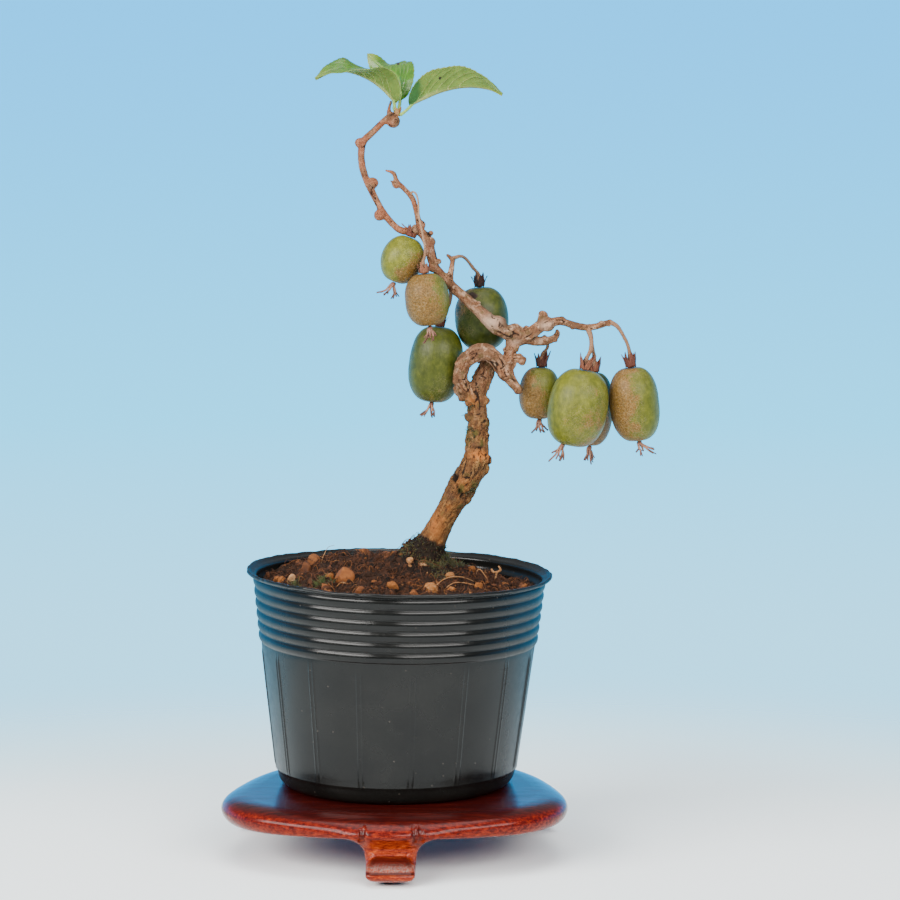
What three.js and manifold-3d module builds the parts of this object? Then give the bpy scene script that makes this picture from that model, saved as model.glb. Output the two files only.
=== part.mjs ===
// Hardy kiwi bonsai in a black nursery pot on a small carved display stand.
// Millimetres, +Z up. The pieces are laid out round the pot's axis (x = 0, y = 0) with the
// floor at z = 0 and the viewer on the -Y side. At the end the whole group is shifted
// sideways, so that the origin is the middle of the object's base.

import * as THREE from 'three';
import { mergeVertices } from 'three/addons/utils/BufferGeometryUtils.js';
import Module from 'manifold-3d';

const wasm = await Module();
wasm.setup();

// Driving dimensions

const GAP = 0.3; // air left between pieces that touch

const STAND = {
  height: 16,
  slab: 6.2, // thickness of the slab
  radius: 42.8, // mean radius of the three-lobed outline
  lobe: 2.3, // how far the lobes swell past the mean radius
  crest: 0.7, // sharpens the lobes
  scoop: 1.2, // the edge of the underside is hollowed this much beside the legs
  forward: 4, // the pot stands this far behind the slab's middle
  legs: [-91, 29, 149], // azimuths, the first one faces the viewer
};

// The slab's rounded edge, from its underside up: how far in from the outline, and how high
// above the underside. It rolls over slowly above and tucks in quickly below.
const SLAB_EDGE = [[2.6, 0], [0.8, 0.3], [0, 1.3], [0.2, 2.7], [1, 4.1], [2.7, 5.3], [5.4, 6], [8, 6.2]];

// A leg seen from its side, as distance from the stand's axis and height: the toe curls up.
const LEG_SIDE = [
  [35.5, 0], [39.5, 0], [43, 0.8], [45.2, 1.8], [45.6, 2.7], [45, 3.6], [42.4, 4], [39.5, 4.4],
  [38, 5.2], [37.9, 6.6], [38.9, 8.2], [40.2, 9.6], [40.8, 11], [40.8, 12.2], [39.5, 13.4],
  [33, 13.4], [30.5, 10.5], [31.3, 7.5], [33, 4],
];

// Half of a leg seen from its front, as distance from its middle and height.
const LEG_FRONT = [
  [5, 0], [5.9, 1], [6.3, 2.6], [6.1, 4.4], [6.2, 6], [6.6, 7.8], [7.6, 9.2], [8.3, 9.8],
  [9.8, 10.7], [12.2, 11.8], [12.2, 14],
];

// The round-bottomed grooves beside each leg: how far their axes lie from the leg's middle
// and out of the slab's edge, how far above the slab's underside their middles are, and the
// degrees that their tops lean in.
const GROOVE = { offsets: [-6.5, 6.3], radius: 1.2, out: 0.1, length: 9, rise: 2, tilt: 22 };

const POT = {
  height: 54,
  wall: 0.9,
  floor: 1.3,
  rimRadius: 38.5,
  ribTopRadius: 37,
  ribFootRadius: 35.1,
  wallTopRadius: 34.5,
  wallFootRadius: 30.5,
  footRadius: 28,
  ribs: 6,
  ribPitch: 2.74,
  ribDepth: 0.55,
  bands: 16, // upright bands down the wall
  firstBand: 7, // azimuth of one of them, in degrees
  bandHalfAngle: 1.3, // degrees
  bandProud: 0.3,
  kickUp: 1.2, // the underside inside the standing ring is this much higher
  ringWidth: 2.8, // of the ring that the pot stands on
  heel: 1.7, // how far the foot widens over its rounded heel
  heelRise: 1.2,
  wallStart: 4.2, // height at which the straight wall begins
  lip: 0.9, // thickness of the flared lip
  underLip: 1.5, // from the rim down to the ribs
  trough: 0.2, // height of the step between the ribs and the wall
  lean: 1, // the soft pot leans this far to the right at the rim
  rimDrop: 0.9, // and its rim dips this far on the right
};

const DRAIN = { middleHole: 5, ringHole: 2.8, ringRadius: 17 }; // radii

const SOIL = {
  edgeDepth: 4.6, // below the rim, at the wall
  mound: 5.6, // rise of the mound over its edge
  moundX: -3,
  moundY: 9,
  spread: 30, // how far from its top the mound reaches
  relief: 0.8, // height of the lumps
  wallGap: 0.45, // between the faceted wall and the faceted soil
};

// Limbs of the tree: each point is x, y, z and the limb's radius there.

const TRUNK = [
  [6, 4, 60, 4], [7, 3.5, 66, 5], [8, 2.5, 72, 4.6], [8.6, 2, 76, 3.9], [10, 1.5, 79, 3.35],
  [12, 1, 83, 3], [13.8, 0.5, 86.5, 3.1], [15.1, 0, 89, 3.35], [16.6, -0.5, 91.8, 3.4],
  [18.3, -1, 94.2, 3.45], [19.9, -1.5, 97.6, 3.3], [20.5, -1, 101, 2.9], [20.3, -0.5, 104, 2.7],
  [20.6, 0, 107.3, 2.75], [20.6, 0.5, 110.8, 2.5], [20.2, 1, 114, 2.6], [19.8, 1, 116, 2.9],
];
const LOOP = [
  [19, 1, 114.8, 2.1], [17, 0.5, 116.8, 1.9], [16, 0, 118.7, 1.75], [16.3, -0.5, 121.2, 1.65],
  [17.2, -1.5, 123.6, 1.65], [18.9, -2, 125.2, 1.65], [21.2, -2.5, 126.3, 1.65],
  [23, -2.5, 126.1, 1.55], [24.5, -2, 124.9, 1.55], [26, -1.5, 123, 1.75], [27.2, -1, 120.6, 1.9],
];
const BROKEN_STUB = [
  [20.2, 1, 114.5, 2.6], [21.5, 1.5, 117.8, 2.5], [22.7, 2.5, 120.4, 2.4], [23.6, 3, 122.6, 2.1],
];
const CROWN = [
  [29.4, 0, 129.4, 1.8], [28.9, 0, 126.4, 1.55], [28.4, -0.5, 124, 1.5], [27.8, -1, 121.4, 1.8],
  [27.4, -1, 119.4, 1.7],
];
const LOWER_STUB = [[27.7, -1, 120, 1.6], [29.4, -1.5, 117.8, 1.35], [31, -2, 115.9, 1.25]];
const SIDE_STUB = [[28.6, -0.5, 124.2, 1], [31, -1, 123.7, 0.95], [32.5, -1, 123.6, 0.75]];
const MAIN_BRANCH = [
  [30.4, 0, 129.4, 1.8], [27.7, -1, 130.5, 1.8], [25.4, -1.5, 131.8, 1.9], [22.9, -2, 134, 1.75],
  [20.4, -2, 136.4, 1.5], [17.4, -2, 139.2, 1.4], [14.9, -2, 141.3, 1.25], [12.7, -2, 143.6, 1.2],
  [11.1, -1.5, 145.3, 1.15], [9.8, -1.5, 146.9, 1.15], [9.3, -1.5, 148.7, 1.25],
  [8.8, -1, 150.6, 1.3], [8.3, -1, 152.6, 1.25], [6.9, 0, 155, 1.15], [5.2, 0.5, 156.2, 1],
];
const LEADER = [
  [6.6, 0, 155.6, 1], [3.7, 0.5, 155.5, 0.95], [1.5, 0.5, 155.8, 0.95], [-0.1, 1, 156.9, 0.9],
  [-2.8, 1.5, 159.9, 0.9], [-4.9, 2, 163.7, 0.9], [-7, 2, 167.9, 0.9], [-8.1, 1.5, 171.4, 0.9],
  [-8.4, 1, 174.9, 0.9], [-7.8, 0.5, 178, 0.9], [-5.5, 0, 180.3, 0.85], [-2.7, -0.5, 183, 0.85],
  [-0.7, -0.5, 184.6, 0.9],
];
const LEADER_SPIKE = [[-1.3, -0.5, 183.4, 0.65], [-1.5, 0, 185.8, 0.5], [-0.9, 0.2, 187.9, 0.4]];
const DEAD_TWIG = [
  [7, 0, 154.4, 1], [6.1, 0.5, 156.9, 0.9], [5.3, 1, 160.4, 0.7], [4.3, 1.5, 163.7, 0.7],
  [2.2, 1.5, 166.2, 0.65], [0.4, 1.5, 168, 0.65], [-0.3, 1.5, 170, 0.6], [-2.4, 2, 170.7, 0.35],
];
const DEAD_TWIG_SPUR = [[0.2, 1.5, 167.6, 0.4], [-0.7, 1, 167.9, 0.3], [-1.3, 1, 168.2, 0.25]];
const DRY_STALK = [
  [4, 1.4, 164.4, 0.4], [4.2, 0.8, 165.4, 0.33], [5, 0, 165.2, 0.33], [5.7, -1.5, 163.6, 0.33],
  [6, -3, 159.4, 0.33], [6.8, -3.5, 155.4, 0.33], [7.5, -3.5, 151.5, 0.33],
];
const PRICKLE = [[4.2, 0.2, 156, 0.45], [2.7, -0.6, 156.6, 0.3], [1.6, -1, 157.7, 0.22]];
const SPUR = [
  [13.7, -1.5, 142.3, 1], [13.8, -1.5, 144.8, 0.85], [14.2, -1, 147.2, 0.7], [14.4, -1, 149, 0.7],
];
const SPUR_TIP = [[14.4, -1, 148.6, 0.65], [12.9, -1, 149.9, 0.4]];
const RIGHT_BRANCH = [
  [28.9, 0, 127.6, 1.7], [31.2, -0.5, 128.6, 1.65], [33.7, -1, 130, 1.65], [35.6, -1.5, 131.6, 1.55],
  [37.4, -2, 132.6, 1.4], [39.1, -2, 133, 1.15], [41.1, -2, 133.4, 1.1], [43.1, -2, 132.8, 0.9],
  [45.1, -2, 132.2, 0.9], [47.9, -1.5, 131.7, 0.95], [50.5, -1.5, 132.1, 0.85],
  [52.4, -1.5, 132.7, 0.75], [53.9, -1.5, 133.1, 0.75],
];
const CUP_STUB = [[35.6, -1.5, 131.4, 1.3], [36.3, -2, 133.6, 1.05], [36.8, -2, 135.3, 1]];
const RIGHT_SPUR = [
  [32.2, -0.5, 128.9, 1.3], [34.9, 0, 128.2, 1.05], [37.5, 0.5, 128.1, 0.9],
  [39.2, 0.5, 128.7, 0.75], [40.6, 0.5, 130, 0.65],
];
const RIGHT_SPUR_FORK = [[39, 0.5, 128.6, 0.6], [40.4, 0.4, 128.2, 0.5]];

// Swollen nodes, lumps and scars that stand out of the limbs: x, y, z and radius.
const KNOBS = [
  [21.6, -1, 96.4, 2], [21.6, 0, 108, 2], [16.2, 0.5, 115.8, 1.8], [14.2, -0.6, 91, 2],
  [25.6, -2, 132.6, 2.2], [29.8, -0.4, 130.6, 2.1], [27.6, -1.6, 120.3, 2.1],
  [9.3, -2.6, 146.6, 1.1], [8.7, -1.5, 153, 1.4], [6.4, 0.4, 157.2, 1.25], [-8.8, 1, 177.6, 1.25],
  [-5.6, 1.8, 167.6, 1.45], [-3.9, 1, 159.6, 1.5], [-0.5, -0.6, 183.9, 1.4], [0.3, 1, 167.3, 1.15],
  [38, -2.4, 132.6, 1.9],
];

// Fruits: middle, radius, half length, how square the barrel is, lean to the right in degrees,
// then the first points of the stalk that carries each one, as x, y, z and radius.
const FRUITS = [
  {
    middle: [1.8, -0.4, 148.6], radius: 5.3, half: 6.2, square: 2.1, lean: 20,
    stalk: [[5.6, 0.2, 156, 0.7], [5, -1.6, 155.8, 0.6]],
  },
  {
    middle: [8, -5.6, 139], radius: 5.55, half: 6.75, square: 2.35, lean: -6,
    stalk: [[7.5, -3.5, 151.6, 0.33], [7.4, -3.9, 149.6, 0.35]],
  },
  {
    middle: [21.7, 8.4, 133.1], radius: 6.8, half: 8.2, square: 2.3, lean: -4,
    stalk: [
      [14.3, -1, 148.9, 0.55], [16, 0, 149.4, 0.4], [17.4, 2.4, 148.8, 0.4],
      [19.4, 5.6, 146.2, 0.42],
    ],
  },
  {
    middle: [10.1, 6.4, 121.7], radius: 6.75, half: 9.8, square: 2.5, lean: 6,
    stalk: [[13.6, -1, 142.4, 0.6], [13.9, 1.2, 139.9, 0.5], [13.2, 4.6, 136.6, 0.5]],
  },
  {
    middle: [36.2, 5.8, 114.5], radius: 5.1, half: 6.8, square: 2.3, lean: 4,
    stalk: [[38.2, 0.6, 128, 0.45], [38.1, 3, 126.2, 0.35]],
  },
  {
    middle: [45.6, -4, 111.8], radius: 7.4, half: 9.9, square: 2.5, lean: 10,
    stalk: [[48.2, -1.6, 131.4, 0.75], [48.9, -2.5, 129, 0.6], [48.8, -3.6, 126.4, 0.55]],
  },
  {
    middle: [49.6, 9.2, 110.1], radius: 5.4, half: 9.6, square: 2.4, lean: 3,
    stalk: [[48.6, -1, 131.7, 0.55], [48.9, 3, 129.4, 0.45], [49.6, 7, 126, 0.45]],
  },
  {
    middle: [59.9, -0.8, 112.4], radius: 6.2, half: 9.5, square: 2.5, lean: -6,
    stalk: [
      [53.6, -1.5, 133.1, 0.65], [55.4, -1.5, 132, 0.5], [57, -1.5, 129.6, 0.45],
      [58.2, -1.2, 127, 0.45],
    ],
  },
];

// Leaves: the midrib from the blade's base to its tip, the greatest width of each half, the side
// that the upper face looks to, and how far each half is folded up, in degrees, along the midrib.
const LEAVES = {
  leaf_left: {
    midrib: [
      [-0.4, -1.5, 188.7], [-2.6, -2.5, 190.8], [-5.3, -3.5, 193.1], [-8.5, -4.5, 194.8],
      [-11.9, -6, 195.7], [-15.6, -7.5, 195.5], [-19.5, -9, 193.8],
    ],
    leftWidth: 5.6, rightWidth: 5.4, up: [0, 0, 1],
    leftFold: [88, 72, 34, 12, 2, 0], rightFold: [25, 28, 34, 48, 50, 40],
    stalk: [[0, -1, 185.7, 0.45], [-0.1, -1.2, 187, 0.42], [-0.6, -1.7, 189.1, 0.45]],
  },
  leaf_back: {
    midrib: [
      [1.4, 1.4, 189.5], [1.5, 2.2, 190.8], [1.4, 3.4, 192.4], [0.6, 5, 194.1],
      [-0.8, 7.2, 195.2], [-3.7, 10, 196.5], [-7.1, 12.3, 199.5],
    ],
    leftWidth: 4.2, rightWidth: 4.9, up: [0, -1, 0.1],
    leftFold: [0, -10, -20, -20, -10, 0], rightFold: [70, 55, 14, -18, -55, -75, -60],
    stalk: [[0.9, 0.5, 185.5, 0.45], [1.2, 0.9, 187.4, 0.42], [1.5, 1.5, 189.6, 0.45]],
  },
  leaf_right: {
    midrib: [
      [4.8, -1.5, 187.8], [7.7, -2.5, 189.1], [11.2, -3.5, 190.6], [16.4, -4.5, 191.8],
      [21.1, -5.5, 191.8], [24.3, -6, 191.1], [26.7, -6.5, 189.9],
    ],
    leftWidth: 5.8, rightWidth: 5.8, up: [0, 0, 1],
    leftFold: [52, 52, 54, 52, 50, 45], rightFold: [80, 78, 76, 74, 70, 60],
    stalk: [[1.3, -0.9, 184.5, 0.42], [2.9, -1.1, 185.7, 0.38], [5.2, -1.6, 188, 0.42]],
  },
};

// Stones in the soil's surface: x, y and size.
const PEBBLES = [
  [-13.8, -10, 3.1], [-27.2, -5, 1.6], [-9.5, 24, 2.2], [-24, 6, 1.8], [-18, -16, 1.6],
  [-9.5, -21, 1.9], [4, -22, 1.6], [-4, 27, 1.9],
];

// Materials

const finish = (color, roughness) => new THREE.MeshStandardMaterial({ color, roughness, metalness: 0 });
const LACQUER = () => finish(0x6e1f12, 0.25);
const BLACK_PLASTIC = () => finish(0x2a2d2e, 0.42);
const EARTH = () => finish(0x4a2a1c, 0.95);
const STONE = () => finish(0xb0672f, 0.85);
const BARK = () => finish(0x8a5a3c, 0.8);
const GREEN_SKIN = () => finish(0x6d7f35, 0.45);
const DRY_FIBRE = () => finish(0x6a4a30, 0.9);
const LEAF_GREEN = () => finish(0x6f9a3c, 0.6);

// Solids and meshes

function solidOf(geometry) {
  const bare = geometry.clone();
  bare.deleteAttribute('normal');
  bare.deleteAttribute('uv');
  const merged = mergeVertices(bare, 1e-4);
  return new wasm.Manifold(new wasm.Mesh({
    numProp: 3,
    vertProperties: new Float32Array(merged.attributes.position.array),
    triVerts: new Uint32Array(merged.index.array),
  }));
}

function geometryOf(solid) {
  const mesh = solid.getMesh();
  const geometry = new THREE.BufferGeometry();
  geometry.setAttribute('position', new THREE.BufferAttribute(mesh.vertProperties, 3));
  geometry.setIndex(new THREE.BufferAttribute(mesh.triVerts, 1));
  geometry.computeVertexNormals();
  return geometry;
}

const joined = (solids) => solids.reduce((whole, solid) => whole.add(solid));

function piece(name, solid, material) {
  const mesh = new THREE.Mesh(geometryOf(solid), material);
  mesh.name = name;
  return mesh;
}

const radians = THREE.MathUtils.degToRad;
const mix = THREE.MathUtils.lerp;

// Reads a list of evenly spaced values at t from 0 to 1.
function along(values, t) {
  const place = THREE.MathUtils.clamp(t, 0, 1) * (values.length - 1);
  const low = Math.min(Math.floor(place), values.length - 2);
  return mix(values[low], values[low + 1], place - low);
}

// Moves every vertex of a geometry by a function of its place.
function reshape(geometry, move) {
  const spots = geometry.attributes.position;
  const spot = new THREE.Vector3();
  for (let i = 0; i < spots.count; i += 1) {
    spot.fromBufferAttribute(spots, i);
    const moved = move(spot);
    spots.setXYZ(i, moved.x, moved.y, moved.z);
  }
  return geometry;
}

// A smooth, repeatable unevenness between about -1 and 1.
function ripple(angle, distance, seed) {
  return 0.5 * Math.sin(2 * angle + 0.9 * distance + seed)
    + 0.3 * Math.sin(3 * angle - 1.7 * distance + 2.3 * seed)
    + 0.2 * Math.sin(5 * angle + 2.9 * distance + 1.7 * seed);
}

// Limbs

const DEPTH = new THREE.Vector3(0, 1, 0);

// A closed, tapering and slightly uneven tube through points of x, y, z and radius.
function limb(points, { sides = 8, step = 1.6, rough = 0.05, swell = 0, seed = 1 } = {}) {
  const route = new THREE.CatmullRomCurve3(points.map(([x, y, z]) => new THREE.Vector3(x, y, z)));
  const radii = points.map((point) => point[3] + swell);
  const length = route.getLength();
  const steps = Math.max(2, Math.round(length / step));
  const rod = new THREE.CylinderGeometry(1, 1, 1, sides, steps);
  return solidOf(reshape(rod, (spot) => {
    const u = THREE.MathUtils.clamp(spot.y + 0.5, 0, 1);
    const t = route.getUtoTmapping(u);
    const angle = Math.atan2(spot.z, spot.x);
    const radius = along(radii, t) * (1 + rough * ripple(angle, u * length, seed));
    const tangent = route.getTangent(t);
    const across = new THREE.Vector3().crossVectors(DEPTH, tangent).normalize();
    const outward = new THREE.Vector3().crossVectors(tangent, across);
    return route.getPoint(t)
      .addScaledVector(across, radius * spot.x)
      .addScaledVector(outward, -radius * spot.z);
  }));
}

function knob([x, y, z, radius], index) {
  const ball = new THREE.OctahedronGeometry(radius, 1);
  return solidOf(reshape(ball, (spot) => {
    const angle = Math.atan2(spot.z, spot.x);
    return spot.multiplyScalar(1 + 0.09 * ripple(angle, spot.y, index)).add(new THREE.Vector3(x, y, z));
  }));
}

// Fruits, with the calyx that holds each one and the dried styles at its foot

const DIMPLE = 0.5; // how far the fruit's ends are drawn in on its axis

function axisOf(fruit) {
  return new THREE.Vector3(Math.sin(radians(fruit.lean)), 0, Math.cos(radians(fruit.lean)));
}

function endOf(fruit, side, clearance) {
  const reach = side * (fruit.half - DIMPLE + clearance);
  return new THREE.Vector3(...fruit.middle).addScaledVector(axisOf(fruit), reach);
}

// Turns and moves a solid that was made upright at the origin to a place and an axis.
function setAlong(geometry, axis, place) {
  const turn = new THREE.Quaternion().setFromUnitVectors(new THREE.Vector3(0, 0, 1), axis);
  return reshape(geometry, (spot) => spot.applyQuaternion(turn).add(place));
}

function fruitSolid(fruit, seed) {
  const rings = 8;
  const power = 2 / fruit.square;
  const profile = [];
  for (let i = 0; i <= rings; i += 1) {
    const angle = -Math.PI / 2 + (Math.PI * i) / rings;
    const reach = i % rings === 0 ? 0 : fruit.radius * Math.cos(angle) ** power;
    const height = Math.sign(Math.sin(angle)) * Math.abs(Math.sin(angle)) ** power * fruit.half;
    const drawnIn = DIMPLE * Math.exp(-((reach / (0.28 * fruit.radius)) ** 2));
    profile.push(new THREE.Vector2(reach, height - Math.sign(height) * drawnIn));
  }
  const barrel = new THREE.LatheGeometry(profile, 14);
  barrel.rotateX(Math.PI / 2);
  reshape(barrel, (spot) => {
    const bulge = 1 + 0.018 * ripple(Math.atan2(spot.y, spot.x), spot.z * 0.2, seed);
    return new THREE.Vector3(spot.x * bulge, spot.y * bulge * 0.97, spot.z);
  });
  return solidOf(setAlong(barrel, axisOf(fruit), new THREE.Vector3(...fruit.middle)));
}

const CALYX = {
  button: [[0, 0], [1.15, 0.2], [1.05, 1], [0, 1.5]], // radius and height, from the fruit up
  sepals: 4,
  reach: 1.9, // of a sepal's tip from the axis
  rise: 1.6, // of its tip above its foot
};

// The button and the reflexed sepals on top of a fruit, at the end of its stalk.
function calyxSolids(fruit, seed) {
  const foot = endOf(fruit, 1, GAP);
  const button = new THREE.LatheGeometry(CALYX.button.map(([r, h]) => new THREE.Vector2(r, h)), 6);
  button.rotateX(Math.PI / 2);
  const solids = [solidOf(setAlong(button, axisOf(fruit), foot))];
  for (let k = 0; k < CALYX.sepals; k += 1) {
    const angle = seed + (2 * Math.PI * k) / CALYX.sepals;
    const reach = CALYX.reach + 0.35 * Math.sin(3 * angle + seed);
    const rise = CALYX.rise + 0.8 * Math.sin(2 * angle + 2 * seed);
    const sepal = limb([
      [0.7 * Math.cos(angle), 0.7 * Math.sin(angle), 0.7, 0.36],
      [0.75 * reach * Math.cos(angle), 0.75 * reach * Math.sin(angle), 0.45 + 0.45 * rise, 0.34],
      [reach * Math.cos(angle), reach * Math.sin(angle), 0.6 + rise, 0.16],
    ], { sides: 3, step: 1.5, rough: 0 });
    solids.push(solidOf(setAlong(geometryOf(sepal), axisOf(fruit), foot)));
  }
  return solids;
}

function stalkSolid(fruit, seed) {
  const axis = axisOf(fruit);
  const neck = endOf(fruit, 1, 3.2);
  const foot = endOf(fruit, 1, 1);
  const lift = (point, radius) => [point.x, point.y, point.z, radius];
  return limb([...fruit.stalk, lift(neck, 0.48), lift(foot.addScaledVector(axis, 0.2), 0.7)],
    { sides: 5, step: 2.6, rough: 0.06, seed });
}

const STYLES = {
  button: [[0, 0], [0.6, 0.1], [0, 1]], // radius and height, from the fruit down
  filaments: 4,
  spread: 1.3, // of a filament's tip from the axis
  reach: 3.6, // of its tip below the fruit
};

// A tuft of dried filaments that spread below the fruit.
function stylesSolid(fruit, seed) {
  const top = endOf(fruit, -1, GAP);
  const down = axisOf(fruit).negate();
  const button = new THREE.LatheGeometry(STYLES.button.map(([r, h]) => new THREE.Vector2(r, h)), 5);
  button.rotateX(Math.PI / 2);
  const solids = [solidOf(setAlong(button, down, top))];
  for (let k = 0; k < STYLES.filaments; k += 1) {
    const angle = 1.3 * seed + (2 * Math.PI * k) / STYLES.filaments;
    const spread = STYLES.spread + 0.8 * Math.sin(2.1 * angle + seed);
    const reach = STYLES.reach + 0.7 * Math.sin(3.7 * angle + 2 * seed);
    const filament = limb([
      [0.36 * Math.cos(angle), 0.36 * Math.sin(angle), 0.4, 0.22],
      [0.7 * spread * Math.cos(angle), 0.7 * spread * Math.sin(angle), 0.55 * reach, 0.2],
      [spread * Math.cos(angle), spread * Math.sin(angle), reach, 0.2],
    ], { sides: 3, step: 2.2, rough: 0 });
    solids.push(solidOf(setAlong(geometryOf(filament), down, top)));
  }
  return joined(solids);
}

// Leaves

const BLADE = {
  thickness: 0.6,
  across: 4,
  along: 24,
  tooth: 0.45, // how far the teeth stand out of the margin
  lobe: 1.4, // how far the margin is swept back beside the stalk
  lobeReach: 0.3, // share of the length over which it is
  arch: 12, // degrees that a half bends back from its midrib to its margin
  foldedFrom: 4.5, // narrower stretches are folded less, so that the faces stay apart
};

// A closed blade from a surface point(u, s): u from -1 to 1 across, s from 0 to 1 along.
// Both faces share one way of splitting their quads into triangles.
function bladeSolid(point) {
  const columns = BLADE.across + 1;
  const rows = BLADE.along + 1;
  const grid = new THREE.PlaneGeometry(2, 1, BLADE.across, BLADE.along);
  const half = BLADE.thickness / 2;
  const sheet = (side) => reshape(grid.clone(), (spot) => {
    const [u, s] = [spot.x, spot.y + 0.5];
    return point(u, s).addScaledVector(normalAt(point, u, s), side * half);
  });
  const upper = sheet(1);
  const lower = sheet(-1);
  const count = columns * rows;
  const positions = [...upper.attributes.position.array, ...lower.attributes.position.array];
  const index = [];
  for (let i = 0; i < grid.index.count; i += 3) {
    const [a, b, c] = [0, 1, 2].map((k) => grid.index.getX(i + k));
    index.push(a, b, c, count + a, count + c, count + b);
  }
  const steps = (length) => [...Array(length - 1).keys()];
  const edge = [
    ...steps(columns),
    ...steps(rows).map((j) => j * columns + columns - 1),
    ...steps(columns).map((i) => count - 1 - i),
    ...steps(rows).map((j) => (rows - 1 - j) * columns),
  ];
  edge.forEach((a, k) => {
    const b = edge[(k + 1) % edge.length];
    index.push(a, b, count + b, a, count + b, count + a);
  });
  const geometry = new THREE.BufferGeometry();
  geometry.setAttribute('position', new THREE.Float32BufferAttribute(positions, 3));
  geometry.setIndex(index);
  return solidOf(geometry);
}

function normalAt(point, u, s) {
  const d = 0.01;
  const acrossStep = point(Math.min(u + d, 1), s).sub(point(Math.max(u - d, -1), s));
  const alongStep = point(u, Math.min(s + d, 1)).sub(point(u, Math.max(s - d, 0)));
  return acrossStep.cross(alongStep).normalize();
}

// Half width of an egg-shaped blade with a drawn-out tip, as a share of its greatest.
const bladeShare = (s) => Math.max(2.556 * s ** 0.55 * (1 - s) ** 0.85, 0.05);

function leafSolid(leaf) {
  const route = new THREE.CatmullRomCurve3(leaf.midrib.map((point) => new THREE.Vector3(...point)));
  const upward = new THREE.Vector3(...leaf.up);
  const point = (u, s) => {
    const tangent = route.getTangentAt(s);
    const up = upward.clone().addScaledVector(tangent, -upward.dot(tangent)).normalize();
    const right = new THREE.Vector3().crossVectors(tangent, up);
    const side = Math.abs(u);
    const halfWidth = (u < 0 ? leaf.leftWidth : leaf.rightWidth) * bladeShare(s);
    const folds = u < 0 ? leaf.leftFold : leaf.rightFold;
    const opening = Math.min(1, halfWidth / BLADE.foldedFrom);
    const fold = radians((along(folds, s) - BLADE.arch * side) * opening);
    const row = Math.round(s * BLADE.along);
    const tooth = side > 0.99 && row % 2 === 1 ? BLADE.tooth * Math.min(1, 4 * s, 5 * (1 - s)) : 0;
    const reach = side * halfWidth + tooth;
    const sweep = BLADE.lobe * side * Math.max(0, 1 - s / BLADE.lobeReach) ** 2;
    return route.getPointAt(s)
      .addScaledVector(tangent, -sweep)
      .addScaledVector(right, Math.sign(u) * reach * Math.cos(fold))
      .addScaledVector(up, reach * Math.sin(fold));
  };
  return bladeSolid(point).add(limb(leaf.stalk, { sides: 5, step: 2.4, rough: 0 }));
}

// Pot

const potFoot = STAND.height + 0.1;
const potRim = potFoot + POT.height;

// Angles of the turned pieces: three to a panel, two of them the edges of the upright band.
function bandAngle(step) {
  const panel = 360 / POT.bands;
  const within = [-POT.bandHalfAngle, POT.bandHalfAngle, panel / 2][step % 3];
  return radians(POT.firstBand + Math.floor(step / 3) * panel + within);
}

// A lathe solid about the pot's axis whose facets follow the upright bands. shift is called
// with the vertex, its step round the axis, and returns how far it moves outward.
function turned(profile, shift = () => 0) {
  const segments = 3 * POT.bands;
  const shell = new THREE.LatheGeometry(profile.map(([r, z]) => new THREE.Vector2(r, z)), segments);
  return reshape(shell, (spot) => {
    const radius = Math.hypot(spot.x, spot.z);
    const turn = (Math.atan2(spot.x, spot.z) + 2 * Math.PI) / (2 * Math.PI);
    const step = Math.round(turn * segments) % segments;
    const angle = bandAngle(step);
    const reach = radius < 0.01 ? 0 : radius + shift(radius, spot.y, step);
    return new THREE.Vector3(reach * Math.cos(angle), reach * Math.sin(angle), spot.y);
  });
}

// The thin pot leans a little, more so towards its rim, and what it holds leans with it.
function lean(spot) {
  const up = THREE.MathUtils.clamp((spot.z - potFoot) / POT.height, 0, 1);
  const x = spot.x + POT.lean * up;
  return new THREE.Vector3(x, spot.y, spot.z - (POT.rimDrop * up * spot.x) / POT.rimRadius);
}

// Radius and height of each rib's groove, lower and upper bulge, from the lowest rib up.
function ribProfile(inset) {
  const base = potRim - POT.underLip - POT.ribs * POT.ribPitch;
  const points = [];
  for (let k = 0; k < POT.ribs; k += 1) {
    const radius = mix(POT.ribFootRadius, POT.ribTopRadius, k / (POT.ribs - 1)) - inset;
    const z = base + k * POT.ribPitch;
    points.push([radius - POT.ribDepth, z]);
    points.push([radius, z + 0.3 * POT.ribPitch]);
    points.push([radius, z + 0.7 * POT.ribPitch]);
  }
  return points;
}

// The ribs show on the inside only above the soil, as the topmost groove and bulge.
const innerRibProfile = () => ribProfile(POT.wall).slice(-4).filter((point, i) => i !== 2);

function outerPotProfile() {
  const ribs = ribProfile(0);
  const underside = potFoot + POT.kickUp;
  const ring = POT.footRadius - POT.ringWidth;
  return [
    [0, underside], [ring - POT.kickUp, underside], [ring, potFoot], [POT.footRadius, potFoot],
    [POT.footRadius + POT.heel, potFoot + POT.heelRise], [POT.wallFootRadius, potFoot + POT.wallStart],
    [POT.wallTopRadius, ribs[0][1] - POT.trough],
    ...ribs,
    [POT.ribTopRadius - POT.ribDepth, potRim - POT.underLip], [POT.rimRadius, potRim - POT.lip],
    [POT.rimRadius, potRim],
  ];
}

function innerPotProfile() {
  const ribFoot = ribProfile(0)[0][1];
  const floor = potFoot + POT.kickUp + POT.floor;
  return [
    [POT.rimRadius - POT.wall, potRim],
    [POT.ribTopRadius - POT.ribDepth - POT.wall, potRim - POT.underLip],
    ...innerRibProfile().reverse(),
    [POT.wallTopRadius - POT.wall, ribFoot],
    [POT.wallFootRadius - POT.wall, potFoot + POT.wallStart + POT.wall],
    [POT.footRadius - POT.wall, floor],
    [0, floor],
  ];
}

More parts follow.
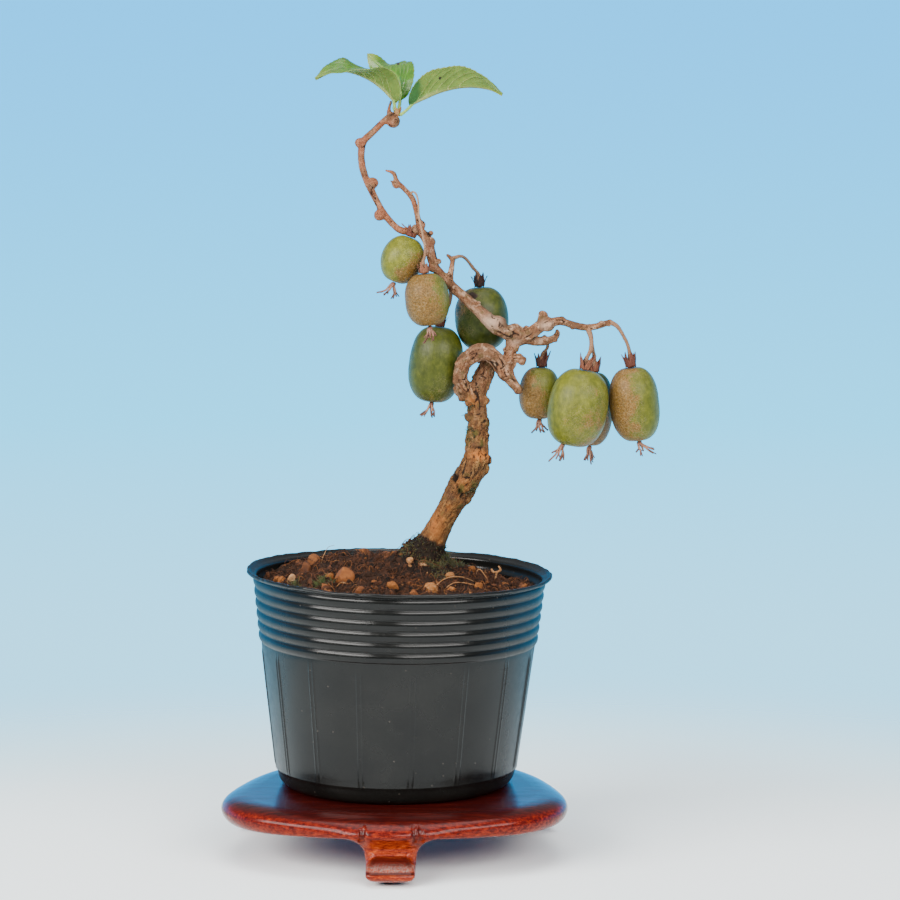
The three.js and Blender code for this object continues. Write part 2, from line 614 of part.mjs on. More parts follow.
function potSolid() {
  const bands = (radius, z, step) => {
    const onWall = radius > POT.wallFootRadius - 0.05 && radius < POT.wallTopRadius + 0.05;
    const outside = z > potFoot + POT.wallStart - 0.05 && z < ribProfile(0)[0][1] - 0.05;
    return onWall && outside && step % 3 !== 2 ? POT.bandProud : 0;
  };
  const shell = solidOf(reshape(turned([...outerPotProfile(), ...innerPotProfile()], bands), lean));
  return shell.subtract(drainHoles());
}

// One round hole in the middle of the floor and four smaller ones round it.
function drainHoles() {
  const hole = (x, y, radius) => {
    const plug = new THREE.CylinderGeometry(radius, radius, 3 * POT.floor, 9);
    plug.rotateX(Math.PI / 2);
    plug.translate(x, y, potFoot + POT.kickUp + POT.floor / 2);
    return solidOf(plug);
  };
  const ring = [45, 135, 225, 315].map((angle) => {
    const [x, y] = [Math.cos(radians(angle)), Math.sin(radians(angle))];
    return hole(DRAIN.ringRadius * x, DRAIN.ringRadius * y, DRAIN.ringHole);
  });
  return joined([hole(0, 0, DRAIN.middleHole), ...ring]);
}

// Soil

function soilHeight(x, y) {
  const away = Math.hypot(x - SOIL.moundX, y - SOIL.moundY) / SOIL.spread;
  const mound = SOIL.mound * Math.exp(-1.1 * away * away);
  const lumps = 0.5 * Math.sin(0.42 * x + 1.1) * Math.cos(0.38 * y - 0.6)
    + 0.5 * Math.sin(0.93 * x - 0.71 * y + 2) * Math.sin(0.81 * y + 0.33 * x);
  return potRim - SOIL.edgeDepth + mound + SOIL.relief * lumps;
}

// The potful, from the pot's floor up to its crumbly surface.
function soilBody() {
  const rings = 6;
  const floor = potFoot + POT.kickUp + POT.floor + GAP;
  const edge = potRim - SOIL.edgeDepth;
  const inset = POT.wall + SOIL.wallGap;
  const wallTop = POT.wallTopRadius - inset;
  const profile = [
    [0, floor], [POT.footRadius - inset - GAP, floor],
    [POT.wallFootRadius - inset, potFoot + POT.wallStart + POT.wall + GAP], [wallTop, edge],
  ];
  for (let i = rings - 1; i >= 0; i -= 1) profile.push([(wallTop * i) / rings, edge + 1]);
  const surface = reshape(turned(profile), (spot) => {
    return spot.z > edge + 0.5 ? spot.setZ(soilHeight(spot.x, spot.y)) : spot;
  });
  return solidOf(reshape(surface, lean));
}

function pebbleSolid([x, y, size], index, extra) {
  const stone = new THREE.DodecahedronGeometry(size + extra);
  const place = lean(new THREE.Vector3(x, y, soilHeight(x, y) + 0.25 * size));
  return solidOf(reshape(stone, (spot) => {
    const angle = Math.atan2(spot.y, spot.x);
    const bulge = 1 + 0.1 * ripple(angle, spot.z, index + 2);
    return new THREE.Vector3(spot.x * bulge, spot.y * bulge * 0.9, spot.z * bulge * 0.8).add(place);
  }));
}

function soilSolid() {
  const below = [5.6, 4.3, 57, 4];
  const trunkHole = limb([below, ...TRUNK.slice(0, 9)], { sides: 12, step: 2, swell: 2 * GAP });
  const sockets = PEBBLES.map((stone, index) => pebbleSolid(stone, index, GAP));
  return sockets.reduce((whole, socket) => whole.subtract(socket), soilBody().subtract(trunkHole));
}

// Stand

// Radius of the three-lobed outline; the lobes lie midway between the legs.
function outlineRadius(angle) {
  const turn = 3 * (angle - radians(STAND.legs[0]));
  return STAND.radius - STAND.lobe * Math.cos(turn) + STAND.crest * Math.cos(2 * turn);
}

// A turned disc with the slab's edge, drawn out to the lobed outline.
function slabSolid() {
  const segments = 48;
  const underside = STAND.height - STAND.slab;
  const profile = SLAB_EDGE.map(([inset, height]) => [STAND.radius - inset, underside + height]);
  const outline = [[0, underside], ...profile, [0, STAND.height]];
  const disc = new THREE.LatheGeometry(outline.map(([r, z]) => new THREE.Vector2(r, z)), segments);
  disc.rotateX(Math.PI / 2);
  return solidOf(reshape(disc, (spot) => {
    const angle = Math.atan2(spot.y, spot.x);
    const stretch = outlineRadius(angle) / STAND.radius;
    const nearLeg = 0.5 + 0.5 * Math.cos(3 * (angle - radians(STAND.legs[0])));
    const low = Math.hypot(spot.x, spot.y) < 1 ? 0 : (STAND.height - spot.z) / STAND.slab;
    const z = spot.z + STAND.scoop * nearLeg * low;
    return new THREE.Vector3(spot.x * stretch, spot.y * stretch, z);
  }));
}

function extruded(corners, depth, steps = 1) {
  const shape = new THREE.Shape(corners.map(([a, b]) => new THREE.Vector2(a, b)));
  return new THREE.ExtrudeGeometry(shape, { depth, steps, bevelEnabled: false });
}

// A leg is the overlap of its side view, drawn outward and up and bent round the stand's edge,
// and of its front view.
function legSolid(azimuth) {
  const width = 30;
  const [from, to] = [29, 49]; // distances from the stand's axis that hold the whole leg
  const side = extruded(LEG_SIDE, width, 4);
  side.rotateX(Math.PI / 2);
  side.translate(0, width / 2, 0);
  reshape(side, (spot) => spot.setX(spot.x - spot.y ** 2 / (2 * STAND.radius)));
  const mirrored = LEG_FRONT.map(([a, b]) => [-a, b]).reverse();
  const front = extruded([...LEG_FRONT, ...mirrored], to - from);
  front.rotateX(Math.PI / 2);
  front.rotateZ(Math.PI / 2);
  front.translate(from, 0, 0);
  const leg = geometryOf(solidOf(side).intersect(solidOf(front)));
  leg.rotateZ(radians(azimuth));
  return solidOf(leg);
}

// Upright grooves carved into the slab's edge on both sides of each leg.
function legGrooves(azimuth) {
  const reach = outlineRadius(radians(STAND.legs[0])) + GROOVE.out;
  return GROOVE.offsets.map((offset) => {
    const cutter = new THREE.CylinderGeometry(GROOVE.radius, GROOVE.radius, GROOVE.length, 6);
    cutter.rotateX(Math.PI / 2);
    cutter.rotateY(-radians(GROOVE.tilt));
    cutter.translate(reach, offset, STAND.height - STAND.slab + GROOVE.rise);
    cutter.rotateZ(radians(azimuth));
    return solidOf(cutter);
  });
}

function standSolid() {
  const body = joined([slabSolid(), ...STAND.legs.map(legSolid)]);
  const carved = STAND.legs.flatMap(legGrooves).reduce((whole, groove) => whole.subtract(groove), body);
  return carved.translate([0, -STAND.forward, 0]);
}

// The tree

function woodSolid() {
  const thick = [
    limb(TRUNK, { sides: 10, step: 2.3, seed: 1 }),
    limb(LOOP, { sides: 7, step: 1.9, seed: 2, rough: 0.08 }),
    limb(BROKEN_STUB, { sides: 7, step: 2, seed: 3, rough: 0.1 }),
    limb(CROWN, { sides: 7, step: 2, seed: 4, rough: 0.08 }),
    limb(MAIN_BRANCH, { sides: 7, step: 2.4, seed: 5, rough: 0.07 }),
    limb(RIGHT_BRANCH, { sides: 7, step: 2, seed: 6, rough: 0.07 }),
  ];
  const thin = [
    LOWER_STUB, SIDE_STUB, LEADER, LEADER_SPIKE, DEAD_TWIG, DEAD_TWIG_SPUR, SPUR, SPUR_TIP, CUP_STUB,
    RIGHT_SPUR, RIGHT_SPUR_FORK, PRICKLE,
  ].map((points, k) => limb(points, { sides: 6, step: 2.8, seed: 10 + k, rough: 0.06 }));
  const dry = limb(DRY_STALK, { sides: 4, step: 2, rough: 0 });
  const fruiting = FRUITS.flatMap((fruit, k) => [stalkSolid(fruit, k), ...calyxSolids(fruit, k)]);
  return joined([...thick, ...thin, dry, ...KNOBS.map(knob), ...fruiting]);
}

// Assembly

const bonsai = new THREE.Group();
bonsai.add(piece('stand', standSolid(), LACQUER()));
bonsai.add(piece('pot', potSolid(), BLACK_PLASTIC()));
bonsai.add(piece('soil', soilSolid(), EARTH()));
PEBBLES.forEach((stone, k) => {
  bonsai.add(piece(`pebble_${k + 1}`, pebbleSolid(stone, k, 0), STONE()));
});
bonsai.add(piece('wood', woodSolid(), BARK()));
FRUITS.forEach((fruit, k) => {
  bonsai.add(piece(`fruit_${k + 1}`, fruitSolid(fruit, k), GREEN_SKIN()));
  bonsai.add(piece(`styles_${k + 1}`, stylesSolid(fruit, k), DRY_FIBRE()));
});
Object.entries(LEAVES).forEach(([name, leaf]) => {
  bonsai.add(piece(name, leafSolid(leaf), LEAF_GREEN()));
});

const extent = new THREE.Box3().setFromObject(bonsai);
const middle = extent.getCenter(new THREE.Vector3());
bonsai.position.set(-middle.x, -middle.y, -extent.min.z);

export default bonsai;
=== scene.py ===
import math

import bmesh
import bpy
import numpy as np
from mathutils import Euler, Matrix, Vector


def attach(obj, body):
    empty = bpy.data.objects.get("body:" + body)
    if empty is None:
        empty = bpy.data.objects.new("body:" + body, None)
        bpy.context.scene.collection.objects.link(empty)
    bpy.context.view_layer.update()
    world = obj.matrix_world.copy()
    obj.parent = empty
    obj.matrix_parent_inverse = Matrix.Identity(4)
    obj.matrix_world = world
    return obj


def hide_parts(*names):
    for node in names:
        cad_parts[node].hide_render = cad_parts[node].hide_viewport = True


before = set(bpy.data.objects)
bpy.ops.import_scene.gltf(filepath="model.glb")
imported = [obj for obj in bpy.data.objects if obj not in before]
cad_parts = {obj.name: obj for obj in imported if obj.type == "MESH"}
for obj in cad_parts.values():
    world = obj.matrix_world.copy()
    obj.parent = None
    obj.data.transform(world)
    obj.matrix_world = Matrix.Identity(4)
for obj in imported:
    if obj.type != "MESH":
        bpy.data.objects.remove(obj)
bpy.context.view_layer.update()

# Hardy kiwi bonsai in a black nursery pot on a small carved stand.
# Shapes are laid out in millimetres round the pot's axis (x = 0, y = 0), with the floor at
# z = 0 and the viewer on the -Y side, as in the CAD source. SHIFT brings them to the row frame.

SHIFT = np.array([-11.462, 3.9, 0.0])
METRE = 0.001  # one millimetre, in metres


# Repeatable noise

def lattice(cells, seed):
    """Repeatable numbers from 0 to 1 at whole-number places, one for each row of cells."""
    mask = 0xFFFFFFFF
    mixed = cells[:, 0] * 374761393 + cells[:, 1] * 668265263 + cells[:, 2] * 1440662683
    mixed = (mixed + seed * 974634777) & mask
    mixed = ((mixed ^ (mixed >> 13)) * 1274126177) & mask
    return ((mixed ^ (mixed >> 16)) & 0xFFFFFF) / float(0xFFFFFF)


def noise(points, seed=0):
    """Smooth noise from -1 to 1 with features about one unit wide."""
    points = np.asarray(points, dtype=float)
    low = np.floor(points).astype(np.int64)
    part = points - low
    part = part * part * (3.0 - 2.0 * part)
    total = np.zeros(len(points))
    for corner in np.ndindex(2, 2, 2):
        weight = np.prod(np.where(np.array(corner) == 1, part, 1.0 - part), axis=1)
        total += weight * lattice(low + np.array(corner), seed)
    return 2.0 * total - 1.0


def layered(points, octaves=4, seed=0):
    """Noise with finer and finer layers on top."""
    points = np.asarray(points, dtype=float)
    total = np.zeros(len(points))
    for k in range(octaves):
        total += 0.5 ** k * noise(points * 2.03 ** k + 7.1 * k, seed + k)
    return total / (2.0 - 0.5 ** (octaves - 1))


def fade(low, high, value):
    """0 below low, 1 above high and smooth between."""
    part = np.clip((np.asarray(value, dtype=float) - low) / (high - low), 0.0, 1.0)
    return part * part * (3.0 - 2.0 * part)


# Shapes

class Shape:
    """Points in millimetres, faces over them, and numbers painted on the points."""

    def __init__(self):
        self.points, self.faces, self.slots, self.values = [], [], [], {}
        self.count = 0

    def add(self, points, blocks, slot=0, **values):
        """blocks: arrays of faces, or one such array. A value is one number or one for each point."""
        points = np.asarray(points, dtype=float)
        for block in (blocks if isinstance(blocks, list) else [blocks]):
            rows = (np.asarray(block) + self.count).tolist()
            self.faces.extend(rows)
            self.slots.extend([slot] * len(rows))
        self.points.append(points)
        for key, value in values.items():
            filled = np.broadcast_to(np.asarray(value, dtype=float), (len(points),))
            self.values.setdefault(key, []).append(filled)
        self.count += len(points)

    def build(self, name, materials, slot, replaced=(), smooth=True):
        """Makes the Blender object that these parts add up to."""
        places = (np.concatenate(self.points) + SHIFT) * METRE
        mesh = bpy.data.meshes.new(name)
        mesh.from_pydata(places.tolist(), [], self.faces)
        mesh.polygons.foreach_set("material_index", self.slots)
        mesh.polygons.foreach_set("use_smooth", [smooth] * len(self.faces))
        for key, parts in self.values.items():
            layer = mesh.attributes.new(key, "FLOAT", "POINT")
            layer.data.foreach_set("value", np.concatenate(parts).astype(np.float32))
        for material in materials:
            mesh.materials.append(material)
        mesh.update()
        made = bpy.data.objects.new(name, mesh)
        bpy.context.scene.collection.objects.link(made)
        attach(made, "root")
        if replaced:
            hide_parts(*replaced)
        return made


def grid_faces(rows, columns, closed=False, flip=False):
    """Quads over rows of columns points; closed joins the last column to the first."""
    across = columns if closed else columns - 1
    j, i = np.meshgrid(np.arange(rows - 1), np.arange(across), indexing="ij")
    j, i = j.ravel(), i.ravel()
    k = (i + 1) % columns
    quads = np.stack([j * columns + i, j * columns + k, (j + 1) * columns + k, (j + 1) * columns + i], axis=1)
    return quads[:, ::-1] if flip else quads


def unit(vectors):
    return vectors / np.maximum(np.linalg.norm(vectors, axis=-1, keepdims=True), 1e-9)


def tubes(paths, radii, sides=5):
    """Closed tubes along paths (tube, step, xyz) with radii (tube, step)."""
    paths = np.asarray(paths, dtype=float)
    radii = np.asarray(radii, dtype=float)
    many, steps, _ = paths.shape
    tangents = unit(np.gradient(paths, axis=1))
    helper = np.where(np.abs(tangents[:, 0, 1:2]) > 0.9, [[1.0, 0.0, 0.0]], [[0.0, 1.0, 0.0]])
    across = unit(np.cross(helper, tangents[:, 0]))
    turns = 2.0 * np.pi * np.arange(sides) / sides
    rings = np.zeros((many, steps, sides, 3))
    for k in range(steps):
        tangent = tangents[:, k]
        across = unit(across - tangent * np.sum(across * tangent, axis=1, keepdims=True))
        upward = np.cross(tangent, across)
        spokes = np.cos(turns)[None, :, None] * across[:, None] + np.sin(turns)[None, :, None] * upward[:, None]
        rings[:, k] = paths[:, k, None] + radii[:, k, None, None] * spokes
    quads = grid_faces(steps, sides, closed=True)
    starts = np.arange(many) * steps * sides
    walls = (quads[None] + starts[:, None, None]).reshape(-1, 4)
    heads = (np.arange(sides)[::-1][None] + starts[:, None]).reshape(-1, sides)
    tails = (np.arange(sides)[None] + starts[:, None] + (steps - 1) * sides).reshape(-1, sides)
    return rings.reshape(-1, 3), [walls, heads, tails]


def curve(points, step=0.5):
    """Even steps along a smooth curve through points of x, y, z and radius: places and radii."""
    points = np.asarray(points, dtype=float)
    inner, radii = points[:, :3], points[:, 3]
    ends = np.vstack([2 * inner[0] - inner[1], inner, 2 * inner[-1] - inner[-2]])
    places, sizes = [], []
    for k in range(len(inner) - 1):
        p0, p1, p2, p3 = ends[k:k + 4]
        knots = np.cumsum([0.0] + [max(np.linalg.norm(b - a), 1e-6) ** 0.5 for a, b in ((p0, p1), (p1, p2), (p2, p3))])
        t = np.linspace(knots[1], knots[2], 24, endpoint=False)[:, None]
        a1 = (knots[1] - t) / (knots[1] - knots[0]) * p0 + (t - knots[0]) / (knots[1] - knots[0]) * p1
        a2 = (knots[2] - t) / (knots[2] - knots[1]) * p1 + (t - knots[1]) / (knots[2] - knots[1]) * p2
        a3 = (knots[3] - t) / (knots[3] - knots[2]) * p2 + (t - knots[2]) / (knots[3] - knots[2]) * p3
        b1 = (knots[2] - t) / (knots[2] - knots[0]) * a1 + (t - knots[0]) / (knots[2] - knots[0]) * a2
        b2 = (knots[3] - t) / (knots[3] - knots[1]) * a2 + (t - knots[1]) / (knots[3] - knots[1]) * a3
        places.append((knots[2] - t) / (knots[2] - knots[1]) * b1 + (t - knots[1]) / (knots[2] - knots[1]) * b2)
        sizes.append(np.linspace(radii[k], radii[k + 1], 24, endpoint=False))
    places = np.vstack(places + [inner[-1:]])
    sizes = np.concatenate(sizes + [radii[-1:]])
    run = np.concatenate([[0.0], np.cumsum(np.linalg.norm(np.diff(places, axis=0), axis=1))])
    even = np.linspace(0.0, run[-1], max(3, int(round(run[-1] / step)) + 1))
    return np.stack([np.interp(even, run, places[:, i]) for i in range(3)], axis=1), np.interp(even, run, sizes)


def rounded(places, radii):
    """The same limb with a rounded tip: a few short steps of shrinking radius are put on its end."""
    direction = unit(places[-1] - places[-2])
    bends = np.array([0.5, 0.8, 0.97])
    tips = places[-1] + direction * (0.6 * radii[-1] * bends)[:, None]
    return np.vstack([places, tips]), np.concatenate([radii, radii[-1] * np.sqrt(1.0 - bends ** 2)])


def ball(detail):
    """Points and triangles of a unit sphere made of triangles."""
    mesh = bmesh.new()
    bmesh.ops.create_icosphere(mesh, subdivisions=detail, radius=1.0)
    points = np.array([vertex.co[:] for vertex in mesh.verts])
    faces = np.array([[vertex.index for vertex in face.verts] for face in mesh.faces])
    mesh.free()
    return points, faces


def turned_copies(template, places, sizes, rng, uneven=0.25, squash=(0.6, 1.0)):
    """Copies of a template, each turned at random, stretched, made uneven and set in its place."""
    points, faces = template
    many = len(places)
    turn = np.linalg.qr(rng.normal(size=(many, 3, 3)))[0]
    turn *= np.sign(np.linalg.det(turn))[:, None, None]
    stretch = rng.uniform(*squash, size=(many, 3))
    bumps = 1.0 + uneven * rng.uniform(-1.0, 1.0, size=(many, len(points)))
    shaped = points[None] * bumps[..., None] * stretch[:, None] * np.asarray(sizes)[:, None, None]
    placed = np.einsum("nij,nvj->nvi", turn, shaped) + np.asarray(places)[:, None]
    starts = np.arange(many) * len(points)
    return placed.reshape(-1, 3), (faces[None] + starts[:, None, None]).reshape(-1, faces.shape[1])


def remeshed(sources, voxel):
    """One closed skin of even quads over several closed shapes: its points and faces."""
    mesh = bpy.data.meshes.new("skin")
    points, faces, count = [], [], 0
    for spots, blocks in sources:
        for block in blocks:
            faces.extend((np.asarray(block) + count).tolist())
        points.append(spots)
        count += len(spots)
    mesh.from_pydata(np.concatenate(points).tolist(), [], faces)
    holder = bpy.data.objects.new("skin", mesh)
    bpy.context.scene.collection.objects.link(holder)
    modifier = holder.modifiers.new("skin", "REMESH")
    modifier.mode = "VOXEL"
    modifier.voxel_size = voxel
    result = holder.evaluated_get(bpy.context.evaluated_depsgraph_get()).to_mesh()
    spots = np.empty(3 * len(result.vertices))
    result.vertices.foreach_get("co", spots)
    quads = [list(face.vertices) for face in result.polygons]
    holder.to_mesh_clear()
    bpy.data.objects.remove(holder)
    bpy.data.meshes.remove(mesh)
    return spots.reshape(-1, 3), quads


def face_arrays(faces):
    """Faces sorted into arrays of equal length."""
    return [np.array(group) for size in (3, 4) if (group := [f for f in faces if len(f) == size])]


def normals_of(points, faces):
    """Outward normals of the points of a skin."""
    total = np.zeros_like(points)
    for block in face_arrays(faces):
        a, b, c = points[block[:, 0]], points[block[:, 1]], points[block[:, 2]]
        facing = np.cross(b - a, c - a)
        for column in range(block.shape[1]):
            np.add.at(total, block[:, column], facing)
    return unit(total)


def smoothed(points, faces, rounds, share=0.5):
    """The points after moving each a share of the way to the middle of its neighbours."""
    edges = set()
    for face in faces:
        for a, b in zip(face, face[1:] + face[:1]):
            edges.add((a, b) if a < b else (b, a))
    edges = np.array(sorted(edges))
    degree = np.bincount(edges.ravel(), minlength=len(points))[:, None]
    for _ in range(rounds):
        total = np.zeros_like(points)
        np.add.at(total, edges[:, 0], points[edges[:, 1]])
        np.add.at(total, edges[:, 1], points[edges[:, 0]])
        points = points + share * (total / degree - points)
    return points


# Materials

class Nodes:
    """A tree of shader nodes that is being put together."""

    def __init__(self, tree):
        self.tree = tree

    def node(self, kind, inputs=None, output=0, **settings):
        made = self.tree.nodes.new(kind)
        for key, value in settings.items():
            setattr(made, key, value)
        for key, value in (inputs or {}).items():
            self.feed(made.inputs[key], value)
        return made.outputs[output]

    def feed(self, socket, value):
        if isinstance(value, bpy.types.NodeSocket):
            self.tree.links.new(value, socket)
        else:
            socket.default_value = value

    def place(self, stretch=(1.0, 1.0, 1.0)):
        """The place on the object in millimetres, stretched along the axes."""
        spot = self.node("ShaderNodeTexCoord", output="Object")
        scale = [1.0 / METRE * share for share in stretch]
        return self.node("ShaderNodeMapping", {"Vector": spot, "Scale": scale})

    def noise(self, spot, scale, detail=4.0, rough=0.5, warp=0.0):
        return self.node("ShaderNodeTexNoise", {
            "Vector": spot, "Scale": scale, "Detail": detail, "Roughness": rough, "Distortion": warp})

    def cells(self, spot, scale, feature="F1"):
        return self.node("ShaderNodeTexVoronoi", {"Vector": spot, "Scale": scale}, output="Distance", feature=feature)

    def value(self, name):
        return self.node("ShaderNodeAttribute", output="Fac", attribute_name=name)

    def ramp(self, factor, *stops):
        made = self.tree.nodes.new("ShaderNodeValToRGB")
        bar = made.color_ramp
        while len(bar.elements) < len(stops):
            bar.elements.new(0.5)
        for element, (place, color) in zip(bar.elements, stops):
            element.position = place
            element.color = (*color, 1.0)
        self.feed(made.inputs["Fac"], factor)
        return made.outputs["Color"]

    def mix(self, factor, first, second):
        made = self.tree.nodes.new("ShaderNodeMix")
        made.data_type = "RGBA"
        for socket, value in zip((made.inputs[0], made.inputs[6], made.inputs[7]), (factor, first, second)):
            self.feed(socket, (*value, 1.0) if isinstance(value, tuple) else value)
        return made.outputs[2]

    def sum(self, operation, first, second=0.0):
        made = self.tree.nodes.new("ShaderNodeMath")
        made.operation = operation
        for socket, value in zip(made.inputs, (first, second)):
            self.feed(socket, value)
        return made.outputs[0]

    def swayed(self, base, value, size):
        """base, moved up and down by a value that lies round a half."""
        return self.sum("ADD", base, self.sum("MULTIPLY", self.sum("SUBTRACT", value, 0.5), size))

    def span(self, value, low, high, to_low=0.0, to_high=1.0):
        return self.node("ShaderNodeMapRange", {
            "Value": value, "From Min": low, "From Max": high, "To Min": to_low, "To Max": to_high},
            interpolation_type="SMOOTHSTEP")

    def bump(self, height, distance, strength=1.0):
        return self.node("ShaderNodeBump", {"Height": height, "Distance": distance * METRE, "Strength": strength})


class Paint(Nodes):
    """A procedural material that is being put together."""

    def __init__(self, name, **constants):
        self.material = bpy.data.materials.new(name)
        self.material.use_nodes = True
        super().__init__(self.material.node_tree)
        self.shader = self.tree.nodes["Principled BSDF"]
        for key, value in constants.items():
            self.shader.inputs[key.replace("_", " ")].default_value = value

    def finish(self, **sockets):
        for key, value in sockets.items():
            self.feed(self.shader.inputs[key.replace("_", " ")], value)
        return self.material


# Camera, floor and light

STUDIO = 2.9  # brightness of the brightest studio colour
# The share of the way up that each spreads over, and its colours from low to high
BACKDROP = {"rise": (-0.2, 0.02),
            "shades": [(0.0, (0.22, 0.6, 0.85)), (0.35, (0.06, 0.56, 0.93)), (1.0, (0.012, 0.4, 0.88))]}
ROOM = {"rise": (-0.2, 0.9),
        "shades": [(0.0, (0.035, 0.06, 0.08)), (0.3, (0.045, 0.065, 0.08)), (1.0, (0.2, 0.21, 0.22))]}
CAMERA = {"distance": 900.0, "x": 13.68, "z": 209.63, "pitch": 6.9, "focal_px": 3610.3, "frame_px": 900.0}


def set_camera():
    data = bpy.data.cameras.new("camera")
    data.sensor_width = 36.0
    data.lens = CAMERA["focal_px"] / CAMERA["frame_px"] * data.sensor_width
    data.clip_end = 20.0
    camera = bpy.data.objects.new("camera", data)
    place = (np.array([CAMERA["x"], -CAMERA["distance"], CAMERA["z"]]) + SHIFT) * METRE
    camera.location = place.tolist()
    camera.rotation_euler = Euler((math.radians(90.0 - CAMERA["pitch"]), 0.0, 0.0))
    bpy.context.scene.collection.objects.link(camera)
    bpy.context.scene.camera = camera


def set_floor():
    """A white floor that fades into the backdrop's colour away from the object."""
    radius, rings, spokes = 1.0, 24, 96
    steps = radius * (np.arange(1, rings + 1) / rings) ** 1.5
    turns = 2.0 * np.pi * np.arange(spokes) / spokes
    points = [(0.0, 0.0, 0.0)]
    points += [(r * math.cos(t), r * math.sin(t), 0.0) for r in steps for t in turns]
    faces = [[0, 1 + i, 1 + (i + 1) % spokes] for i in range(spokes)]
    faces += (grid_faces(rings, spokes, closed=True, flip=True) + 1).tolist()
    mesh = bpy.data.meshes.new("floor")
    mesh.from_pydata(points, [], faces)
    floor = bpy.data.objects.new("floor", mesh)
    bpy.context.scene.collection.objects.link(floor)
    paint = Paint("floor_paper", Roughness=0.9, Specular_IOR_Level=0.2)
    nearer = paint.node("ShaderNodeVectorMath", {0: paint.place(), 1: (0.0, 120.0, 0.0)}, output="Vector")
    away = paint.node("ShaderNodeVectorMath", {0: nearer}, output="Value", operation="LENGTH")
    tint = paint.ramp(paint.span(away, 100.0, 400.0), (0.0, (0.92, 0.97, 0.98)), (1.0, (0.6, 0.88, 0.97)))
    mesh.materials.append(paint.finish(Base_Color=tint, Alpha=paint.span(away, 190.0, 380.0, 1.0, 0.0)))


def set_world():
    """A soft studio: a pale blue backdrop low behind the object, white overhead, dimmer on the viewer's side."""
    world = bpy.data.worlds.new("studio")
    world.use_nodes = True
    bpy.context.scene.world = world
    studio = Nodes(world.node_tree)
    spot = studio.node("ShaderNodeTexCoord", output="Generated")
    depth, rise = (studio.node("ShaderNodeSeparateXYZ", {"Vector": spot}, output=axis) for axis in "YZ")
    backdrop = studio.ramp(studio.span(rise, *BACKDROP["rise"]), *BACKDROP["shades"])
    room = studio.ramp(studio.span(rise, *ROOM["rise"]), *ROOM["shades"])
    behind = studio.sum("MULTIPLY", studio.span(depth, -0.45, 0.35), studio.span(rise, 0.42, 0.12))
    background = world.node_tree.nodes["Background"]
    studio.feed(background.inputs["Color"], studio.mix(behind, room, backdrop))
    background.inputs["Strength"].default_value = STUDIO


def set_lamp(name, azimuth, elevation, distance, size, power, color=(1.0, 0.98, 0.95)):
    """A square soft box. Azimuth 0 is the viewer's side, and positive is to the right."""
    data = bpy.data.lights.new(name, "AREA")
    data.shape = "RECTANGLE"
    data.size, data.size_y = size
    data.energy = power
    data.color = color
    lamp = bpy.data.objects.new(name, data)
    turn, rise = math.radians(azimuth), math.radians(elevation)
    aim = Vector((0.0, 0.0, 0.1))
    way = Vector((math.sin(turn) * math.cos(rise), -math.cos(turn) * math.cos(rise), math.sin(rise)))
    lamp.location = aim + way * distance
    lamp.rotation_euler = way.to_track_quat("Z", "Y").to_euler()
    bpy.context.scene.collection.objects.link(lamp)


set_camera()
set_floor()
set_world()
set_lamp("soft_box_left", -48.0, 24.0, 1.3, (1.15, 0.5), 34.0)
set_lamp("soft_box_right", 29.0, 25.0, 1.4, (1.3, 0.5), 27.0)
set_lamp("top_fill", 0.0, 82.0, 1.5, (1.1, 1.1), 20.0)


# Stand

STAND = {"height": 16.0, "slab": 6.2, "radius": 42.8, "lobe": 2.3, "crest": 0.7, "scoop": 1.2, "forward": 4.0}
LEGS = (-91.0, 29.0, 149.0)  # azimuths
# The edge of the slab at the legs and at the lobes between them: drawn in from the outline, and height
LEG_EDGE = [(1.2, 0.0), (0.2, 0.2), (0.0, 0.7), (0.15, 1.4), (0.7, 2.6), (1.6, 3.8), (3.0, 4.9), (5.2, 5.8), (8.0, 6.2)]
LOBE_EDGE = [(2.6, 0.0), (1.0, 0.35), (0.1, 1.2), (-0.45, 2.3), (-0.55, 3.3), (-0.1, 4.4), (0.9, 5.3), (2.6, 5.95),
             (5.0, 6.2), (8.0, 6.2)]
# A leg from its side, as distance from the stand's axis and height: the toe turns up
LEG_SIDE = [
    (35.5, 0.0), (38.2, 0.0), (40.0, 0.4), (43.0, 1.2), (44.6, 1.9), (45.1, 2.7), (44.9, 3.3),
    (44.3, 3.75), (44.1, 4.2), (43.3, 4.9), (42.0, 5.75), (40.5, 6.4), (39.4, 7.2), (39.0, 8.1), (39.4, 9.0),
    (40.1, 9.9), (40.8, 11.0), (40.8, 12.2), (39.5, 13.4), (33.0, 13.4),
    (30.5, 10.5), (31.3, 7.5), (33.0, 4.0),
]
# Half of a leg from its front, as distance from its middle and height
LEG_FRONT = [(3.0, 0.0), (4.5, 1.0), (5.5, 1.8), (6.0, 2.8), (6.0, 4.4), (6.2, 6.0), (6.6, 7.8), (7.6, 9.2), (8.3, 9.8),
             (9.8, 10.7), (12.2, 11.8), (12.2, 14.0)]
GROOVES = [(-6.9, 0.75), (5.7, 0.55), (7.3, 0.7)]  # offset from the leg's middle, and radius
GROOVE = {"foot": (8.2, 9.4), "top": (15.4, 13.4), "reach": (30.0, 36.0)}


def soft_min(first, second, reach):
    blend = np.clip(0.5 + 0.5 * (second - first) / reach, 0.0, 1.0)
    return second * (1.0 - blend) + first * blend - reach * blend * (1.0 - blend)


def soft_max(first, second, reach):
    return -soft_min(-first, -second, reach)


